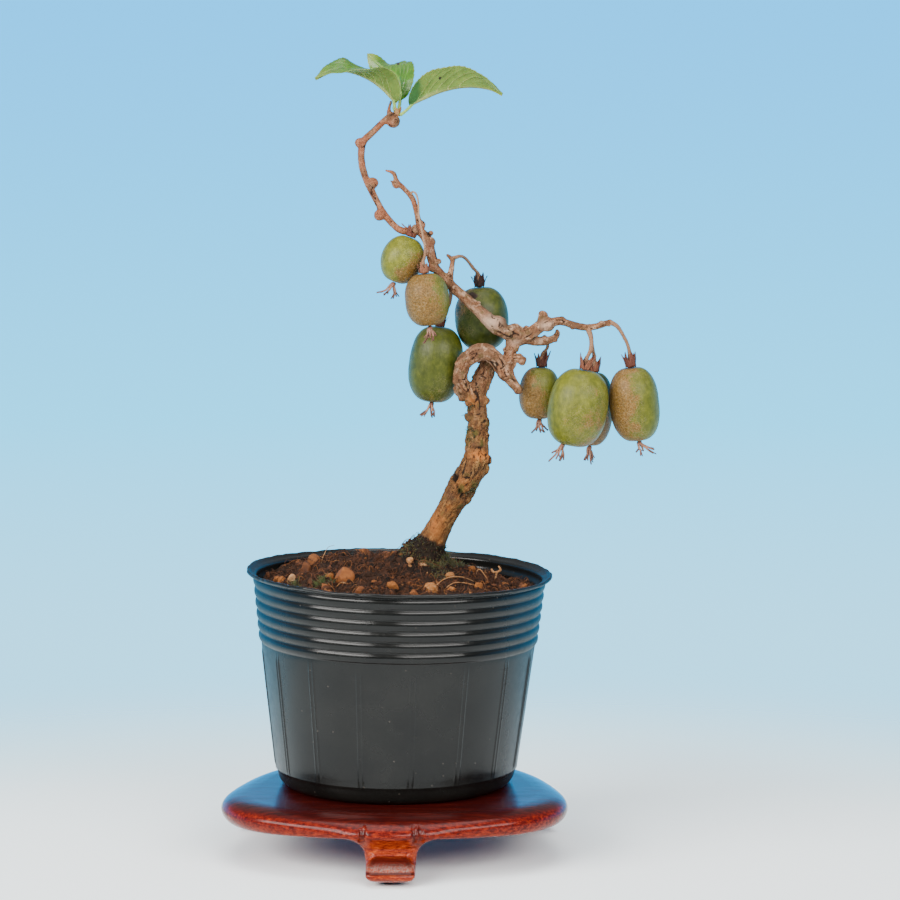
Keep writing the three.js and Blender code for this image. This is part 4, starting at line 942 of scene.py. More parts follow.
def bark():
    paint = Paint("bark", Roughness=0.85, Specular_IOR_Level=0.16)
    spot = paint.place()
    cracks, lumps, tone = paint.value("cracks"), paint.value("lumps"), paint.value("tone")
    streaks = paint.node("ShaderNodeAttribute", output="Vector", attribute_name="along")
    along = paint.noise(streaks, 1.2, 5.0, 0.62)
    broad = paint.noise(spot, 0.28, 3.0)
    fine = paint.noise(spot, 2.4, 5.0, 0.65)
    trunk = paint.ramp(along, (0.3, (0.034, 0.013, 0.005)), (0.44, (0.095, 0.036, 0.011)),
                       (0.57, (0.175, 0.076, 0.022)), (0.72, (0.28, 0.15, 0.055)))
    branch = paint.ramp(along, (0.3, (0.085, 0.03, 0.015)), (0.46, (0.19, 0.08, 0.038)), (0.6, (0.3, 0.16, 0.092)),
                        (0.74, (0.46, 0.31, 0.22)))
    color = paint.mix(tone, trunk, branch)
    specks = paint.noise(spot, 2.2, 6.0, 0.85)
    color = paint.mix(paint.span(specks, 0.5, 0.58, 0.0, 0.85), color, (0.035, 0.015, 0.005))
    color = paint.mix(paint.span(specks, 0.44, 0.36, 0.0, 0.5), color, (0.24, 0.17, 0.075))
    olive = paint.noise(spot, 0.5, 5.0, 0.65)
    color = paint.mix(paint.span(olive, 0.54, 0.64, 0.0, 0.6), color, (0.06, 0.05, 0.014))
    cream = paint.sum("MULTIPLY", paint.span(paint.noise(spot, 0.42, 4.0, 0.6), 0.57, 0.67, 0.0, 0.5), tone)
    color = paint.mix(paint.span(broad, 0.42, 0.66, 0.0, 0.6), color, (0.07, 0.034, 0.016))
    color = paint.mix(paint.span(fine, 0.6, 0.78, 0.0, 0.4), color, (0.4, 0.29, 0.17))
    color = paint.mix(paint.span(lumps, 0.66, 0.98, 0.0, 0.3), color, (0.34, 0.17, 0.08))
    color = paint.mix(cream, color, (0.5, 0.32, 0.21))
    color = paint.mix(paint.value("pale"), color, (0.56, 0.38, 0.27))
    shoot = paint.ramp(fine, (0.35, (0.13, 0.032, 0.014)), (0.65, (0.36, 0.13, 0.065)))
    color = paint.mix(paint.value("young"), color, shoot)
    color = paint.mix(paint.value("warm"), color, (0.38, 0.115, 0.02))
    # Painted shade: near black down in the cracks and clefts.
    color = paint.mix(paint.span(cracks, 0.1, 0.65, 0.0, 0.96), color, (0.01, 0.005, 0.003))
    color = paint.mix(paint.value("moss"), color, (0.055, 0.05, 0.01))
    stain = paint.ramp(fine, (0.35, (0.005, 0.003, 0.002)), (0.7, (0.02, 0.012, 0.006)))
    color = paint.mix(paint.value("wet"), color, stain)
    relief = paint.sum("ADD", paint.sum("MULTIPLY", fine, 0.6), along)
    return paint.finish(Base_Color=color, Normal=paint.bump(relief, 0.14, 0.7))


def make_wood():
    points, faces = wood_skin()
    points, cracks, lumps, local = make_bark_relief(points, faces)
    height, side = points[:, 2], points[:, 0]
    tone = fade(108.0, 124.0, height + 3.0 * noise(points * 0.3, 61))
    stain = fade(80.0, 78.0, height + 1.2 * layered(points * 0.8, 2, 62) + 0.45 * (side - 6.6))
    patches = fade(0.1, 0.5, noise(points * 0.55, 63) + 0.3 * noise(points * 2.0, 64))
    moss = patches * (fade(86.5, 88.5, height) * fade(94.0, 91.5, height) * fade(15.0, 17.0, side)
                      + 0.9 * fade(101.6, 102.4, height) * fade(109.0, 106.0, height))
    warm = sum(share * np.exp(-np.sum(((points - spot) / reach) ** 2, axis=1)) for spot, reach, share in WARM_SCARS)
    warm = np.clip(warm + 0.3 * fade(0.1, 0.6, layered(points * 0.9, 3, 65)) * fade(92.0, 84.0, height), 0.0, 0.85)
    pale = sum(share * np.exp(-np.sum(((points - spot) / reach) ** 2, axis=1)) for spot, reach, share in PALE_SCARS)
    young = 0.75 * fade(140.0, 162.0, height) * fade(-0.6, 0.4, noise(points * 0.5, 66))
    wood = Shape()
    wood.add(points, face_arrays(faces), cracks=cracks, lumps=lumps, tone=tone, wet=stain,
             moss=np.clip(moss, 0.0, 0.75), warm=warm, pale=pale, young=young)
    made = wood.build("trunk_and_branches", [bark()], "bark", ["wood"])
    layer = made.data.attributes.new("along", "FLOAT_VECTOR", "POINT")
    layer.data.foreach_set("vector", (local * np.array([0.9, 0.9, 0.28])).astype(np.float32).ravel())
    return points, normals_of(points, faces)


BARK_SKIN = make_wood()


# Fruits: middle, radius, half length, squareness, lean to the right, points of the stalk, how
# yellow the green is, how far the dried tuft is set aside and swept, size and tone of the sepals,
# the side that the russet patches are on, and how far they spread

FRUITS = [
    {"middle": (1.8, -0.4, 148.6), "radius": 5.3, "half": 6.2, "square": 2.1, "lean": 20.0,
     "stalk": [(5.6, 0.2, 156, 0.7), (5, -1.6, 155.8, 0.6)],
     "yellow": 0.8, "tuft": (0.0, -0.4), "sepals": (2.6, 0.3), "russet_side": (0.75, -0.2, -0.55), "russet": -0.42},
    {"middle": (8.0, -5.6, 139.0), "radius": 5.55, "half": 6.75, "square": 2.35, "lean": -6.0,
     "stalk": [(7.5, -3.5, 151.6, 0.33), (7.4, -3.9, 149.6, 0.35)],
     "yellow": 0.55, "tuft": (0.0, 0.0), "sepals": (2.6, 0.45), "russet_side": (-0.75, -0.25, -0.3), "russet": 0.35},
    {"middle": (21.7, 8.4, 133.1), "radius": 6.8, "half": 8.2, "square": 2.3, "lean": -4.0,
     "stalk": [(14.3, -1, 148.9, 0.55), (16, 0, 149.4, 0.4), (17.4, 2.4, 148.8, 0.4), (19.4, 5.6, 146.2, 0.42)],
     "yellow": 0.12, "tuft": (0.0, 0.0), "sepals": (3.0, 0.0), "russet_side": (-0.8, -0.3, 0.35), "russet": -0.85},
    {"middle": (10.1, 6.4, 121.7), "radius": 6.75, "half": 9.8, "square": 2.5, "lean": 6.0,
     "stalk": [(13.6, -1, 142.4, 0.6), (13.9, 1.2, 139.9, 0.5), (13.2, 4.6, 136.6, 0.5)],
     "yellow": 0.2, "tuft": (0.0, 0.0), "sepals": (2.8, 0.2), "russet_side": (0.1, -0.2, -0.6), "russet": -0.95},
    {"middle": (36.2, 5.8, 114.5), "radius": 5.1, "half": 6.8, "square": 2.3, "lean": 4.0,
     "stalk": [(38.2, 0.6, 128, 0.45), (38.1, 3, 126.2, 0.35)],
     "yellow": 0.5, "tuft": (0.6, 0.3), "sepals": (3.7, 0.0), "russet_side": (-0.85, -0.1, -0.45), "russet": 0.12},
    {"middle": (45.6, -4.0, 111.8), "radius": 7.4, "half": 9.9, "square": 2.5, "lean": 10.0,
     "stalk": [(48.2, -1.6, 131.4, 0.75), (48.9, -2.5, 129, 0.6), (48.8, -3.6, 126.4, 0.55)],
     "yellow": 0.62, "tuft": (-2.0, -0.9), "sepals": (4.1, 0.4), "russet_side": (0.45, -0.4, -0.35), "russet": -0.68},
    # The seventh fruit's green is kept at its darkest (yellow 0.0): painted shade, as it hangs behind the sixth.
    {"middle": (49.6, 9.2, 110.1), "radius": 5.4, "half": 9.6, "square": 2.4, "lean": 3.0,
     "stalk": [(48.6, -1, 131.7, 0.55), (48.9, 3, 129.4, 0.45), (49.6, 7, 126, 0.45)],
     "yellow": 0.0, "tuft": (0.0, 0.2), "sepals": (3.4, 0.35), "russet_side": (0.4, -0.1, -0.8), "russet": -0.3},
    {"middle": (59.9, -0.8, 112.4), "radius": 6.2, "half": 9.5, "square": 2.5, "lean": -6.0,
     "stalk": [(53.6, -1.5, 133.1, 0.65), (55.4, -1.5, 132, 0.5), (57, -1.5, 129.6, 0.45), (58.2, -1.2, 127, 0.45)],
     "yellow": 0.52, "tuft": (0.3, 1.9), "sepals": (3.6, 0.3), "russet_side": (-1.0, -0.25, 0.0), "russet": -0.2},
]
FRUIT_GRID = (74, 82)  # points from end to end and points round
DIMPLE = 0.5  # how far the fruit's ends are drawn in on its axis
AIR = 0.3  # between a fruit and its calyx
DARK_PATCH = {"middle": np.array([18.5, 3.2, 140.1]), "reach": 2.5}  # a dark patch near the top of the third fruit


def fruit_axis(fruit):
    turn = math.radians(fruit["lean"])
    return np.array([math.sin(turn), 0.0, math.cos(turn)])


def fruit_end(fruit, side, clearance):
    reach = side * (fruit["half"] - DIMPLE + clearance)
    return np.array(fruit["middle"]) + fruit_axis(fruit) * reach


def set_along(points, axis, place):
    """Turns points that were made upright at the origin to an axis in the XZ plane, and moves them."""
    x, y, z = points[..., 0], points[..., 1], points[..., 2]
    return np.stack([x * axis[2] + z * axis[0], y, z * axis[2] - x * axis[0]], axis=-1) + place


def fruit_part(shape, fruit, seed):
    rows, columns = FRUIT_GRID
    power = 2.0 / fruit["square"]
    rise = np.linspace(-np.pi / 2.0, np.pi / 2.0, rows)[1:-1, None]
    turn = (2.0 * np.pi * np.arange(columns) / columns)[None]
    reach = fruit["radius"] * np.cos(rise) ** power * np.ones_like(turn)
    height = np.sign(np.sin(rise)) * np.abs(np.sin(rise)) ** power * fruit["half"] * np.ones_like(turn)
    height -= np.sign(height) * DIMPLE * np.exp(-((reach / (0.28 * fruit["radius"])) ** 2))
    full = np.ones_like(rise)
    way = np.stack([np.cos(turn) * full, np.sin(turn) * full, height / fruit["radius"]], axis=-1)
    spots = way.reshape(-1, 3)
    bulge = 1.0 + 0.02 * noise(spots * 1.6, 70 + seed) + 0.006 * noise(spots * [5.0, 5.0, 0.8], 80 + seed)
    bulge += 0.004 * noise(spots * 9.0, 90 + seed)
    reach = reach * bulge.reshape(reach.shape)
    upright = np.stack([reach * np.cos(turn), 0.97 * reach * np.sin(turn), height], axis=-1).reshape(-1, 3)
    tips = np.array([[0.0, 0.0, side * (fruit["half"] - DIMPLE)] for side in (-1.0, 1.0)])
    points = np.vstack([upright, tips])
    inner = rows - 2
    ring = np.arange(columns)
    nexts = (ring + 1) % columns
    last = (inner - 1) * columns
    blocks = [grid_faces(inner, columns, closed=True),
              np.stack([np.full(columns, inner * columns), nexts, ring], axis=1),
              np.stack([np.full(columns, inner * columns + 1), last + ring, last + nexts], axis=1)]
    share = points / np.array([fruit["radius"], fruit["radius"], fruit["half"]])
    patches = share @ np.array(fruit["russet_side"]) + fruit["russet"]
    patches += 0.6 * layered(points * 0.36 + 11.0 * seed, 4, 100 + seed)
    ends = fade(0.8, 1.05, np.abs(share[:, 2]))
    placed = set_along(points, fruit_axis(fruit), np.array(fruit["middle"]))
    scar = np.exp(-((np.linalg.norm(placed - DARK_PATCH["middle"], axis=1) + 0.5 * noise(points, 77)) / DARK_PATCH["reach"]) ** 2)
    shape.add(placed, blocks, scar=scar,
              russet=np.clip(0.5 + 0.9 * patches + 0.35 * ends, 0.0, 1.0), yellow=fruit["yellow"],
              along=share[:, 2])


def fruit_skin():
    paint = Paint("fruit_skin", Roughness=0.4, Specular_IOR_Level=0.22)
    spot = paint.place()
    russet, yellow = paint.value("russet"), paint.value("yellow")
    mottle = paint.noise(paint.place((1.0, 1.0, 0.7)), 0.8, 6.0, 0.66)
    fine = paint.noise(spot, 2.6, 5.0, 0.7)
    dots = paint.cells(spot, 1.7)
    net = paint.cells(paint.node("ShaderNodeVectorMath", {0: spot, 1: paint.node(
        "ShaderNodeTexNoise", {"Vector": spot, "Scale": 1.1, "Detail": 2.0}, output="Color")}, output="Vector"),
        1.5, "DISTANCE_TO_EDGE")
    dark = paint.ramp(mottle, (0.3, (0.012, 0.02, 0.002)), (0.55, (0.027, 0.038, 0.004)), (0.75, (0.055, 0.066, 0.007)))
    light = paint.ramp(mottle, (0.3, (0.09, 0.095, 0.008)), (0.55, (0.165, 0.165, 0.015)), (0.75, (0.25, 0.235, 0.03)))
    green = paint.mix(yellow, dark, light)
    green = paint.mix(paint.span(dots, 0.13, 0.07, 0.0, 0.4), green, (0.2, 0.17, 0.06))
    tan = paint.ramp(fine, (0.32, (0.045, 0.018, 0.004)), (0.5, (0.14, 0.06, 0.012)), (0.68, (0.29, 0.15, 0.045)))
    edge = paint.swayed(russet, fine, 1.3)
    edge = paint.swayed(edge, mottle, 0.9)
    color = paint.mix(paint.span(edge, 0.42, 0.74, 0.0, 0.85), green, tan)
    # Pale netting on the russet, real in part and in part a painted sparkle highlight.
    pale_net_and_sparkle = paint.sum("MULTIPLY", paint.span(net, 0.08, 0.02), paint.span(russet, 0.0, 0.4))
    color = paint.mix(paint.sum("MULTIPLY", pale_net_and_sparkle, 0.2), color, (0.4, 0.31, 0.16))
    color = paint.mix(paint.span(paint.noise(spot, 1.2, 6.0, 0.8), 0.6, 0.7, 0.0, 0.6), color, (0.03, 0.016, 0.006))
    color = paint.mix(paint.span(paint.value("scar"), 0.35, 0.6), color, (0.02, 0.009, 0.005))
    rough = paint.span(edge, 0.42, 0.74, 0.38, 0.42)
    relief = paint.sum("ADD", fine, paint.sum("MULTIPLY", pale_net_and_sparkle, 0.9))
    return paint.finish(Base_Color=color, Roughness=rough, Normal=paint.bump(relief, 0.07, 0.8))


def thin_solid(middle, thickness):
    """A closed thin solid over rows and columns of points on its middle surface."""
    rows, columns, _ = middle.shape
    facing = unit(np.cross(np.gradient(middle, axis=1), np.gradient(middle, axis=0)))
    half = np.broadcast_to(np.asarray(thickness), (rows, columns))[..., None] / 2.0
    points = np.concatenate([(middle + facing * half).reshape(-1, 3), (middle - facing * half).reshape(-1, 3)])
    count = rows * columns
    upper = grid_faces(rows, columns)
    lower = grid_faces(rows, columns, flip=True) + count
    rim = np.concatenate([np.arange(columns), np.arange(1, rows) * columns + columns - 1,
                          count - 2 - np.arange(columns - 1), np.arange(rows - 2, 0, -1) * columns])
    nexts = np.roll(rim, -1)
    edge = np.stack([rim, rim + count, nexts + count, nexts], axis=1)
    return points, upper, lower, edge


def sepal_part(shape, fruit, foot, angle, size, curl, seed):
    """A dry papery lobe that stands up and curls away from the stalk."""
    s, u = np.linspace(0.0, 1.0, 9)[:, None], np.linspace(-1.0, 1.0, 5)[None]
    width = 0.6 * (1.0 - s ** 1.7) ** 0.9 * (1.0 + 0.15 * np.sin(9.0 * s + seed)) + 0.03
    reach = 1.15 + size * (0.14 * s + 0.5 * curl * s * s)
    height = 0.2 + size * (s - 0.12 * curl * s ** 3) - 0.25 * width * np.abs(u)
    height = height + 0.08 * np.sin(7.0 * s + 3.0 * u + seed)
    reach = reach - 0.3 * (width * u) ** 2 * size * 0.5
    across = width * u * size * 0.4
    x = reach * math.cos(angle) - across * math.sin(angle)
    y = reach * math.sin(angle) + across * math.cos(angle)
    middle = set_along(np.stack([x, y, height + 0.0 * x], axis=-1), fruit_axis(fruit), foot)
    points, upper, lower, edge = thin_solid(middle, 0.16)
    shape.add(points, [upper, lower, edge], tone=fruit["sepals"][1] + 0.35 * (seed * 0.37 % 1.0))


def calyx_parts(shape, fruit, seed, rng):
    foot = fruit_end(fruit, 1.0, AIR)
    points, faces = ball(3)
    button = points * np.array([1.25, 1.25, 0.95]) * (1.0 + 0.12 * noise(points * 2.5, 120 + seed))[:, None]
    button[:, 2] = np.maximum(button[:, 2] + 0.75, 0.0)
    shape.add(set_along(button, fruit_axis(fruit), foot), [faces], tone=0.3)
    lobes = 6
    for k in range(lobes):
        angle = seed + 2.0 * math.pi * (k + rng.uniform(-0.25, 0.25)) / lobes
        size, curl = fruit["sepals"][0] * rng.uniform(0.75, 1.15), rng.uniform(-0.15, 0.5)
        sepal_part(shape, fruit, foot, angle, size, curl, seed + 3.1 * k)
    many, steps = 12, 6
    turns = rng.uniform(0.0, 2.0 * np.pi, many)
    s = np.linspace(0.0, 1.0, steps)[None]
    reach = 0.9 + rng.uniform(0.2, 1.1, (many, 1)) * s
    height = 0.6 + rng.uniform(0.8, 2.2, (many, 1)) * s
    twist = turns[:, None] + rng.uniform(-0.8, 0.8, (many, 1)) * s
    paths = np.stack([reach * np.cos(twist), reach * np.sin(twist), height], axis=-1)
    points, blocks = tubes(set_along(paths, fruit_axis(fruit), foot), 0.085 * (1.0 - 0.6 * s) * np.ones((many, 1)), 4)
    shape.add(points, blocks, tone=0.1)


def styles_parts(shape, fruit, seed, rng):
    """The dried tuft at the fruit's foot: a button and branching filaments with dark tips."""
    aside, sweep = fruit["tuft"]
    top = fruit_end(fruit, -1.0, AIR) + np.array([aside, 0.0, 0.15 * aside * aside])
    down = -fruit_axis(fruit)
    points, faces = ball(2)
    button = points * np.array([0.62, 0.62, 0.7])
    button[:, 2] = np.maximum(button[:, 2] + 0.45, 0.0)
    shape.add(set_along(button, down, top), [faces], tone=0.45)
    many, steps = 5, 9
    turns = seed + 2.0 * np.pi * (np.arange(many) + rng.uniform(-0.3, 0.3, many)) / many
    s = np.linspace(0.0, 1.0, steps)[None]
    spread = rng.uniform(0.8, 2.9, (many, 1))
    length = rng.uniform(2.4, 4.0, (many, 1))
    curl = rng.uniform(-0.5, 0.9, (many, 1))
    reach = 0.3 + spread * (0.35 * s + 0.65 * s ** 2.0) + 0.15 * np.sin(8.0 * s + turns[:, None])
    height = 0.35 + length * (s - 0.22 * curl * s ** 3)
    twist = turns[:, None] + rng.uniform(-0.5, 0.5, (many, 1)) * s
    paths = set_along(np.stack([reach * np.cos(twist), reach * np.sin(twist), height], axis=-1), down, top)
    paths = paths + sweep * (s ** 1.3)[..., None] * np.array([1.0, 0.0, 0.25])
    radii = 0.34 * (1.0 - 0.4 * s) * np.ones((many, 1))
    tubes_points, blocks = tubes(paths, radii, 5)
    tone = np.repeat((0.6 - 0.35 * fade(0.45, 1.0, s[0]))[None], many, axis=0).ravel().repeat(5)
    shape.add(tubes_points, blocks, tone=tone)
    forks = paths[:, 5]
    ends = forks + (paths[:, 8] - paths[:, 5]) * 0.9 + rng.uniform(-0.9, 0.9, (many, 3)) * np.array([1.0, 1.0, 0.3])
    t = np.linspace(0.0, 1.0, 4)[None, :, None]
    twigs = forks[:, None] * (1.0 - t) + ends[:, None] * t
    radii = 0.2 * (1.0 - 0.4 * t[..., 0]) * np.ones((many, 1))
    tubes_points, blocks = tubes(twigs, radii, 4)
    shape.add(tubes_points, blocks, tone=0.22)


def stalk_part(shape, fruit, seed):
    axis = fruit_axis(fruit)
    neck, foot = fruit_end(fruit, 1.0, 3.2), fruit_end(fruit, 1.0, 1.0) + 0.2 * axis
    points = list(fruit["stalk"]) + [(*neck, 0.48), (*foot, 0.75)]
    places, radii = curve(points, 0.35)
    radii = radii * (1.0 + 0.12 * noise(places * 1.1, 130 + seed))
    tube_points, blocks = tubes(places[None], radii[None], 10)
    tube_points += 0.05 * np.stack([noise(tube_points * 2.2, 140 + k) for k in range(3)], axis=1)
    shape.add(tube_points, blocks, tone=0.6)


def dry_fibre(name, low, middle, high):
    """Dead plant fibre: dark where tone is 0 and pale where it is 1."""
    paint = Paint(name, Roughness=0.75, Specular_IOR_Level=0.3)
    spot = paint.place()
    fine = paint.noise(spot, 2.2, 5.0, 0.65)
    shade = paint.swayed(paint.value("tone"), fine, 0.6)
    color = paint.ramp(shade, (0.0, low), (0.5, middle), (1.0, high))
    return paint.finish(Base_Color=color, Normal=paint.bump(fine, 0.08, 0.6))


def make_fruits():
    rng = np.random.default_rng(5)
    fruits, calyxes, styles, stalks = Shape(), Shape(), Shape(), Shape()
    for seed, fruit in enumerate(FRUITS):
        fruit_part(fruits, fruit, seed)
        calyx_parts(calyxes, fruit, seed, rng)
        styles_parts(styles, fruit, seed, rng)
        stalk_part(stalks, fruit, seed)
    thread = [(4, 1.4, 164.4, 0.3), (4.2, 0.8, 165.4, 0.25), (5, 0, 165.2, 0.25), (5.7, -1.5, 163.6, 0.25),
              (6, -3, 159.4, 0.25), (6.8, -3.5, 155.4, 0.27), (7.5, -3.5, 151.5, 0.3)]
    places, radii = curve(thread, 0.35)
    radii = radii * (1.0 + 0.15 * noise(places * 1.3, 139))
    points, blocks = tubes(places[None], radii[None], 10)
    stalks.add(points, blocks, tone=0.85)
    names = ["fruit_%d" % (k + 1) for k in range(len(FRUITS))]
    fruits.build("kiwi_fruits", [fruit_skin()], "fruit_skin", names)
    sepal = dry_fibre("dry_sepal", (0.01, 0.005, 0.004), (0.12, 0.034, 0.018), (0.3, 0.12, 0.06))
    style = dry_fibre("dry_style", (0.03, 0.013, 0.009), (0.24, 0.1, 0.065), (0.44, 0.29, 0.19))
    stalk = dry_fibre("fruit_stalk", (0.06, 0.024, 0.012), (0.17, 0.08, 0.04), (0.32, 0.19, 0.11))
    calyxes.build("calyxes", [sepal], "bark", ["wood"])
    styles.build("dried_styles", [style], "dry_fibre", [name.replace("fruit", "styles") for name in names])
    stalks.build("fruit_stalks", [stalk], "bark", ["wood"])


make_fruits()


# Leaves: the midrib, the greatest width of each half, the side that the upper face looks to,
# and how far each half is folded up along the midrib, in degrees, as in the CAD source. dark is
# from where to where along x the blade darkens, and spot the x and z of a dead spot; a place off
# the blade stands for none

LEAVES = {
    "leaf_left": {
        "midrib": [(-0.4, -1.5, 188.7), (-2.6, -2.5, 190.8), (-5.3, -3.5, 193.1), (-8.5, -4.5, 194.8),
                   (-11.9, -6, 195.7), (-15.6, -7.5, 195.5), (-19.5, -9, 193.8)],
        "widths": (5.6, 5.4), "up": (0.0, 0.0, 1.0), "dark": (-60.0, -61.0), "spot": (-60.0, 0.0),
        "folds": ([88, 72, 34, 12, 2, 0], [25, 28, 34, 48, 50, 40]),
        "stalk": [(0, -1, 185.7, 0.45), (-0.1, -1.2, 187, 0.42), (-0.6, -1.7, 189.1, 0.45)],
    },
    "leaf_back": {
        "midrib": [(1.4, 1.4, 189.5), (1.5, 2.2, 190.8), (1.4, 3.4, 192.4), (0.6, 5, 194.1), (-0.8, 7.2, 195.2),
                   (-3.7, 10, 196.5), (-7.1, 12.3, 199.5)],
        "widths": (4.2, 4.9), "up": (0.0, -1.0, 0.1), "dark": (-60.0, -61.0), "spot": (0.7, 197.1),
        "folds": ([0, -10, -20, -20, -10, 0], [70, 55, 14, -18, -55, -75, -60]),
        "stalk": [(0.9, 0.5, 185.5, 0.45), (1.2, 0.9, 187.4, 0.42), (1.5, 1.5, 189.6, 0.45)],
    },
    "leaf_right": {
        "midrib": [(4.8, -1.5, 187.8), (7.7, -2.5, 189.1), (11.2, -3.5, 190.6), (16.4, -4.5, 191.8),
                   (21.1, -5.5, 191.8), (24.3, -6, 191.1), (26.7, -6.5, 189.9)],
        "widths": (5.8, 5.8), "up": (0.0, 0.0, 1.0), "dark": (7.2, 5.6), "spot": (11.2, 193.7),
        "folds": ([52, 52, 54, 52, 50, 45], [80, 78, 76, 74, 70, 60]),
        "stalk": [(1.3, -0.9, 184.5, 0.42), (2.9, -1.1, 185.7, 0.38), (5.2, -1.6, 188, 0.42)],
    },
}
BLADE = {"thickness": 0.42, "across": 30, "along": 150, "teeth": 21, "tooth": 0.24, "lobe": 1.4, "lobe_reach": 0.3,
         "arch": 12.0, "folded_from": 4.5, "veins": 5, "first_vein": 0.02, "vein_step": 0.125, "slant": 0.52}


def blade_share(s):
    return np.maximum(2.556 * s ** 0.55 * (1.0 - s) ** 0.85, 0.03)


def vein_pattern(side, s, length):
    """1 on the side veins, which leave the midrib slantwise and bend towards the tip."""
    start = s - BLADE["slant"] * side ** 1.3 * (1.0 - 0.5 * s)
    number = (start - BLADE["first_vein"]) / BLADE["vein_step"]
    near = np.clip(np.round(number), 0, BLADE["veins"] - 1)
    away = np.abs(number - near) * BLADE["vein_step"] * length
    fading = fade(1.0, 0.8, side)
    return np.exp(-((away / (0.17 - 0.07 * side)) ** 2)) * (0.2 + 0.8 * fading), number


def leaf_surface(leaf, seed):
    """The middle surface of a leaf: points in rows along and columns across, with side and vein values."""
    spine, _ = curve([(*point, 0.0) for point in leaf["midrib"]], 0.05)
    count = BLADE["along"] + 1
    s = np.linspace(0.0, 1.0, count) ** 1.08
    run = np.linspace(0.0, 1.0, len(spine))
    line = np.stack([np.interp(s, run, spine[:, i]) for i in range(3)], axis=1)
    ways = unit(np.gradient(spine, axis=0))
    tangent = unit(np.stack([np.interp(s, run, ways[:, i]) for i in range(3)], axis=1))
    upward = np.array(leaf["up"])
    up = unit(upward - tangent * (tangent @ upward)[:, None])
    right = np.cross(tangent, up)
    length = np.linalg.norm(np.diff(spine, axis=0), axis=1).sum()
    u = np.linspace(-1.0, 1.0, 2 * BLADE["across"] + 1)
    u = np.sign(u) * np.abs(u) ** 0.9
    side = np.abs(u)[None] * np.ones((count, 1))
    along = s[:, None] * np.ones_like(side)
    left = (u < 0.0)[None]
    half = np.where(left, leaf["widths"][0], leaf["widths"][1]) * blade_share(s)[:, None]
    folds = [np.interp(s, np.linspace(0.0, 1.0, len(row)), row)[:, None] for row in leaf["folds"]]
    fold = np.where(left, folds[0], folds[1]) - BLADE["arch"] * side
    fold = np.radians(fold * np.minimum(1.0, half / BLADE["folded_from"]))
    phase = s * BLADE["teeth"] + 0.15 * np.sin(17.0 * s + seed)
    saw = (phase % 1.0) ** 1.6
    size = BLADE["tooth"] * np.minimum(1.0, np.minimum(6.0 * s, 6.0 * (1.0 - s)))
    tooth = (saw * size)[:, None] * fade(0.84, 1.0, side)
    waves = 0.05 * np.sin(23.0 * along + 4.0 * seed) * side ** 2 * np.minimum(1.0, half / 3.0)
    reach = side * half + tooth
    sweep = BLADE["lobe"] * side * np.maximum(0.0, 1.0 - along / BLADE["lobe_reach"]) ** 2
    fold = fold + waves
    points = (line[:, None] - tangent[:, None] * sweep[..., None]
              + right[:, None] * (np.sign(u)[None] * reach * np.cos(fold))[..., None]
              + up[:, None] * (reach * np.sin(fold))[..., None])
    veins, number = vein_pattern(side, along, length)
    veins = veins * np.minimum(1.0, half / 2.5)
    rib = np.exp(-((reach / (0.34 * (1.05 - 0.75 * along))) ** 2))
    pucker = (fade(-0.6, 0.0, number) * fade(BLADE["veins"] - 0.4, BLADE["veins"] - 1.0, number)
              * np.cos(2.0 * np.pi * number) * fade(0.08, 0.3, side) * fade(1.0, 0.75, side)
              * np.minimum(1.0, half / 4.0))
    return points, side, along, np.maximum(veins, rib), rib, pucker


def leaf_part(shape, leaf, seed):
    middle, side, along, veins, rib, pucker = leaf_surface(leaf, seed)
    rows, columns, _ = middle.shape
    facing = unit(np.cross(np.gradient(middle, axis=1), np.gradient(middle, axis=0)))
    quilt = 0.07 * pucker
    middle = middle - facing * quilt[..., None]
    thin = BLADE["thickness"] * (0.45 + 0.55 * fade(1.0, 0.6, side))
    points, upper, lower, edge = thin_solid(middle, thin)
    count = rows * columns
    flat = facing.reshape(-1, 3)
    points[:count] -= flat * (0.07 * veins + 0.05 * rib).reshape(-1, 1)
    points[count:] -= flat * (0.17 * veins + 0.28 * rib).reshape(-1, 1)
    values = {"veins": np.tile(veins.ravel(), 2), "side": np.tile(side.ravel(), 2), "along": np.tile(along.ravel(), 2)}
    values["dark"] = fade(*leaf["dark"], points[:, 0] + 0.3 * noise(points, 160))
    values["spot"] = np.exp(-((points[:, 0] - leaf["spot"][0]) ** 2 + (points[:, 2] - leaf["spot"][1]) ** 2) / 0.16)
    shape.add(points, [upper], 0, **values)
    base = shape.count - len(points)
    for block, slot in ((lower, 1), (edge, 2)):
        shape.faces.extend((block + base).tolist())
        shape.slots.extend([slot] * len(block))


def petiole_part(shape, leaf, seed):
    tip = np.array(leaf["midrib"][1])
    places, radii = curve(list(leaf["stalk"]) + [(*(0.5 * (np.array(leaf["stalk"][-1][:3]) + tip)), 0.3)], 0.25)
    points, blocks = tubes(places[None], radii[None], 12)
    points += 0.03 * np.stack([noise(points * 2.0, 150 + k + seed) for k in range(3)], axis=1)
    shape.add(points, blocks, 3, veins=0.0, side=0.0, along=0.0, dark=0.0, spot=0.0)


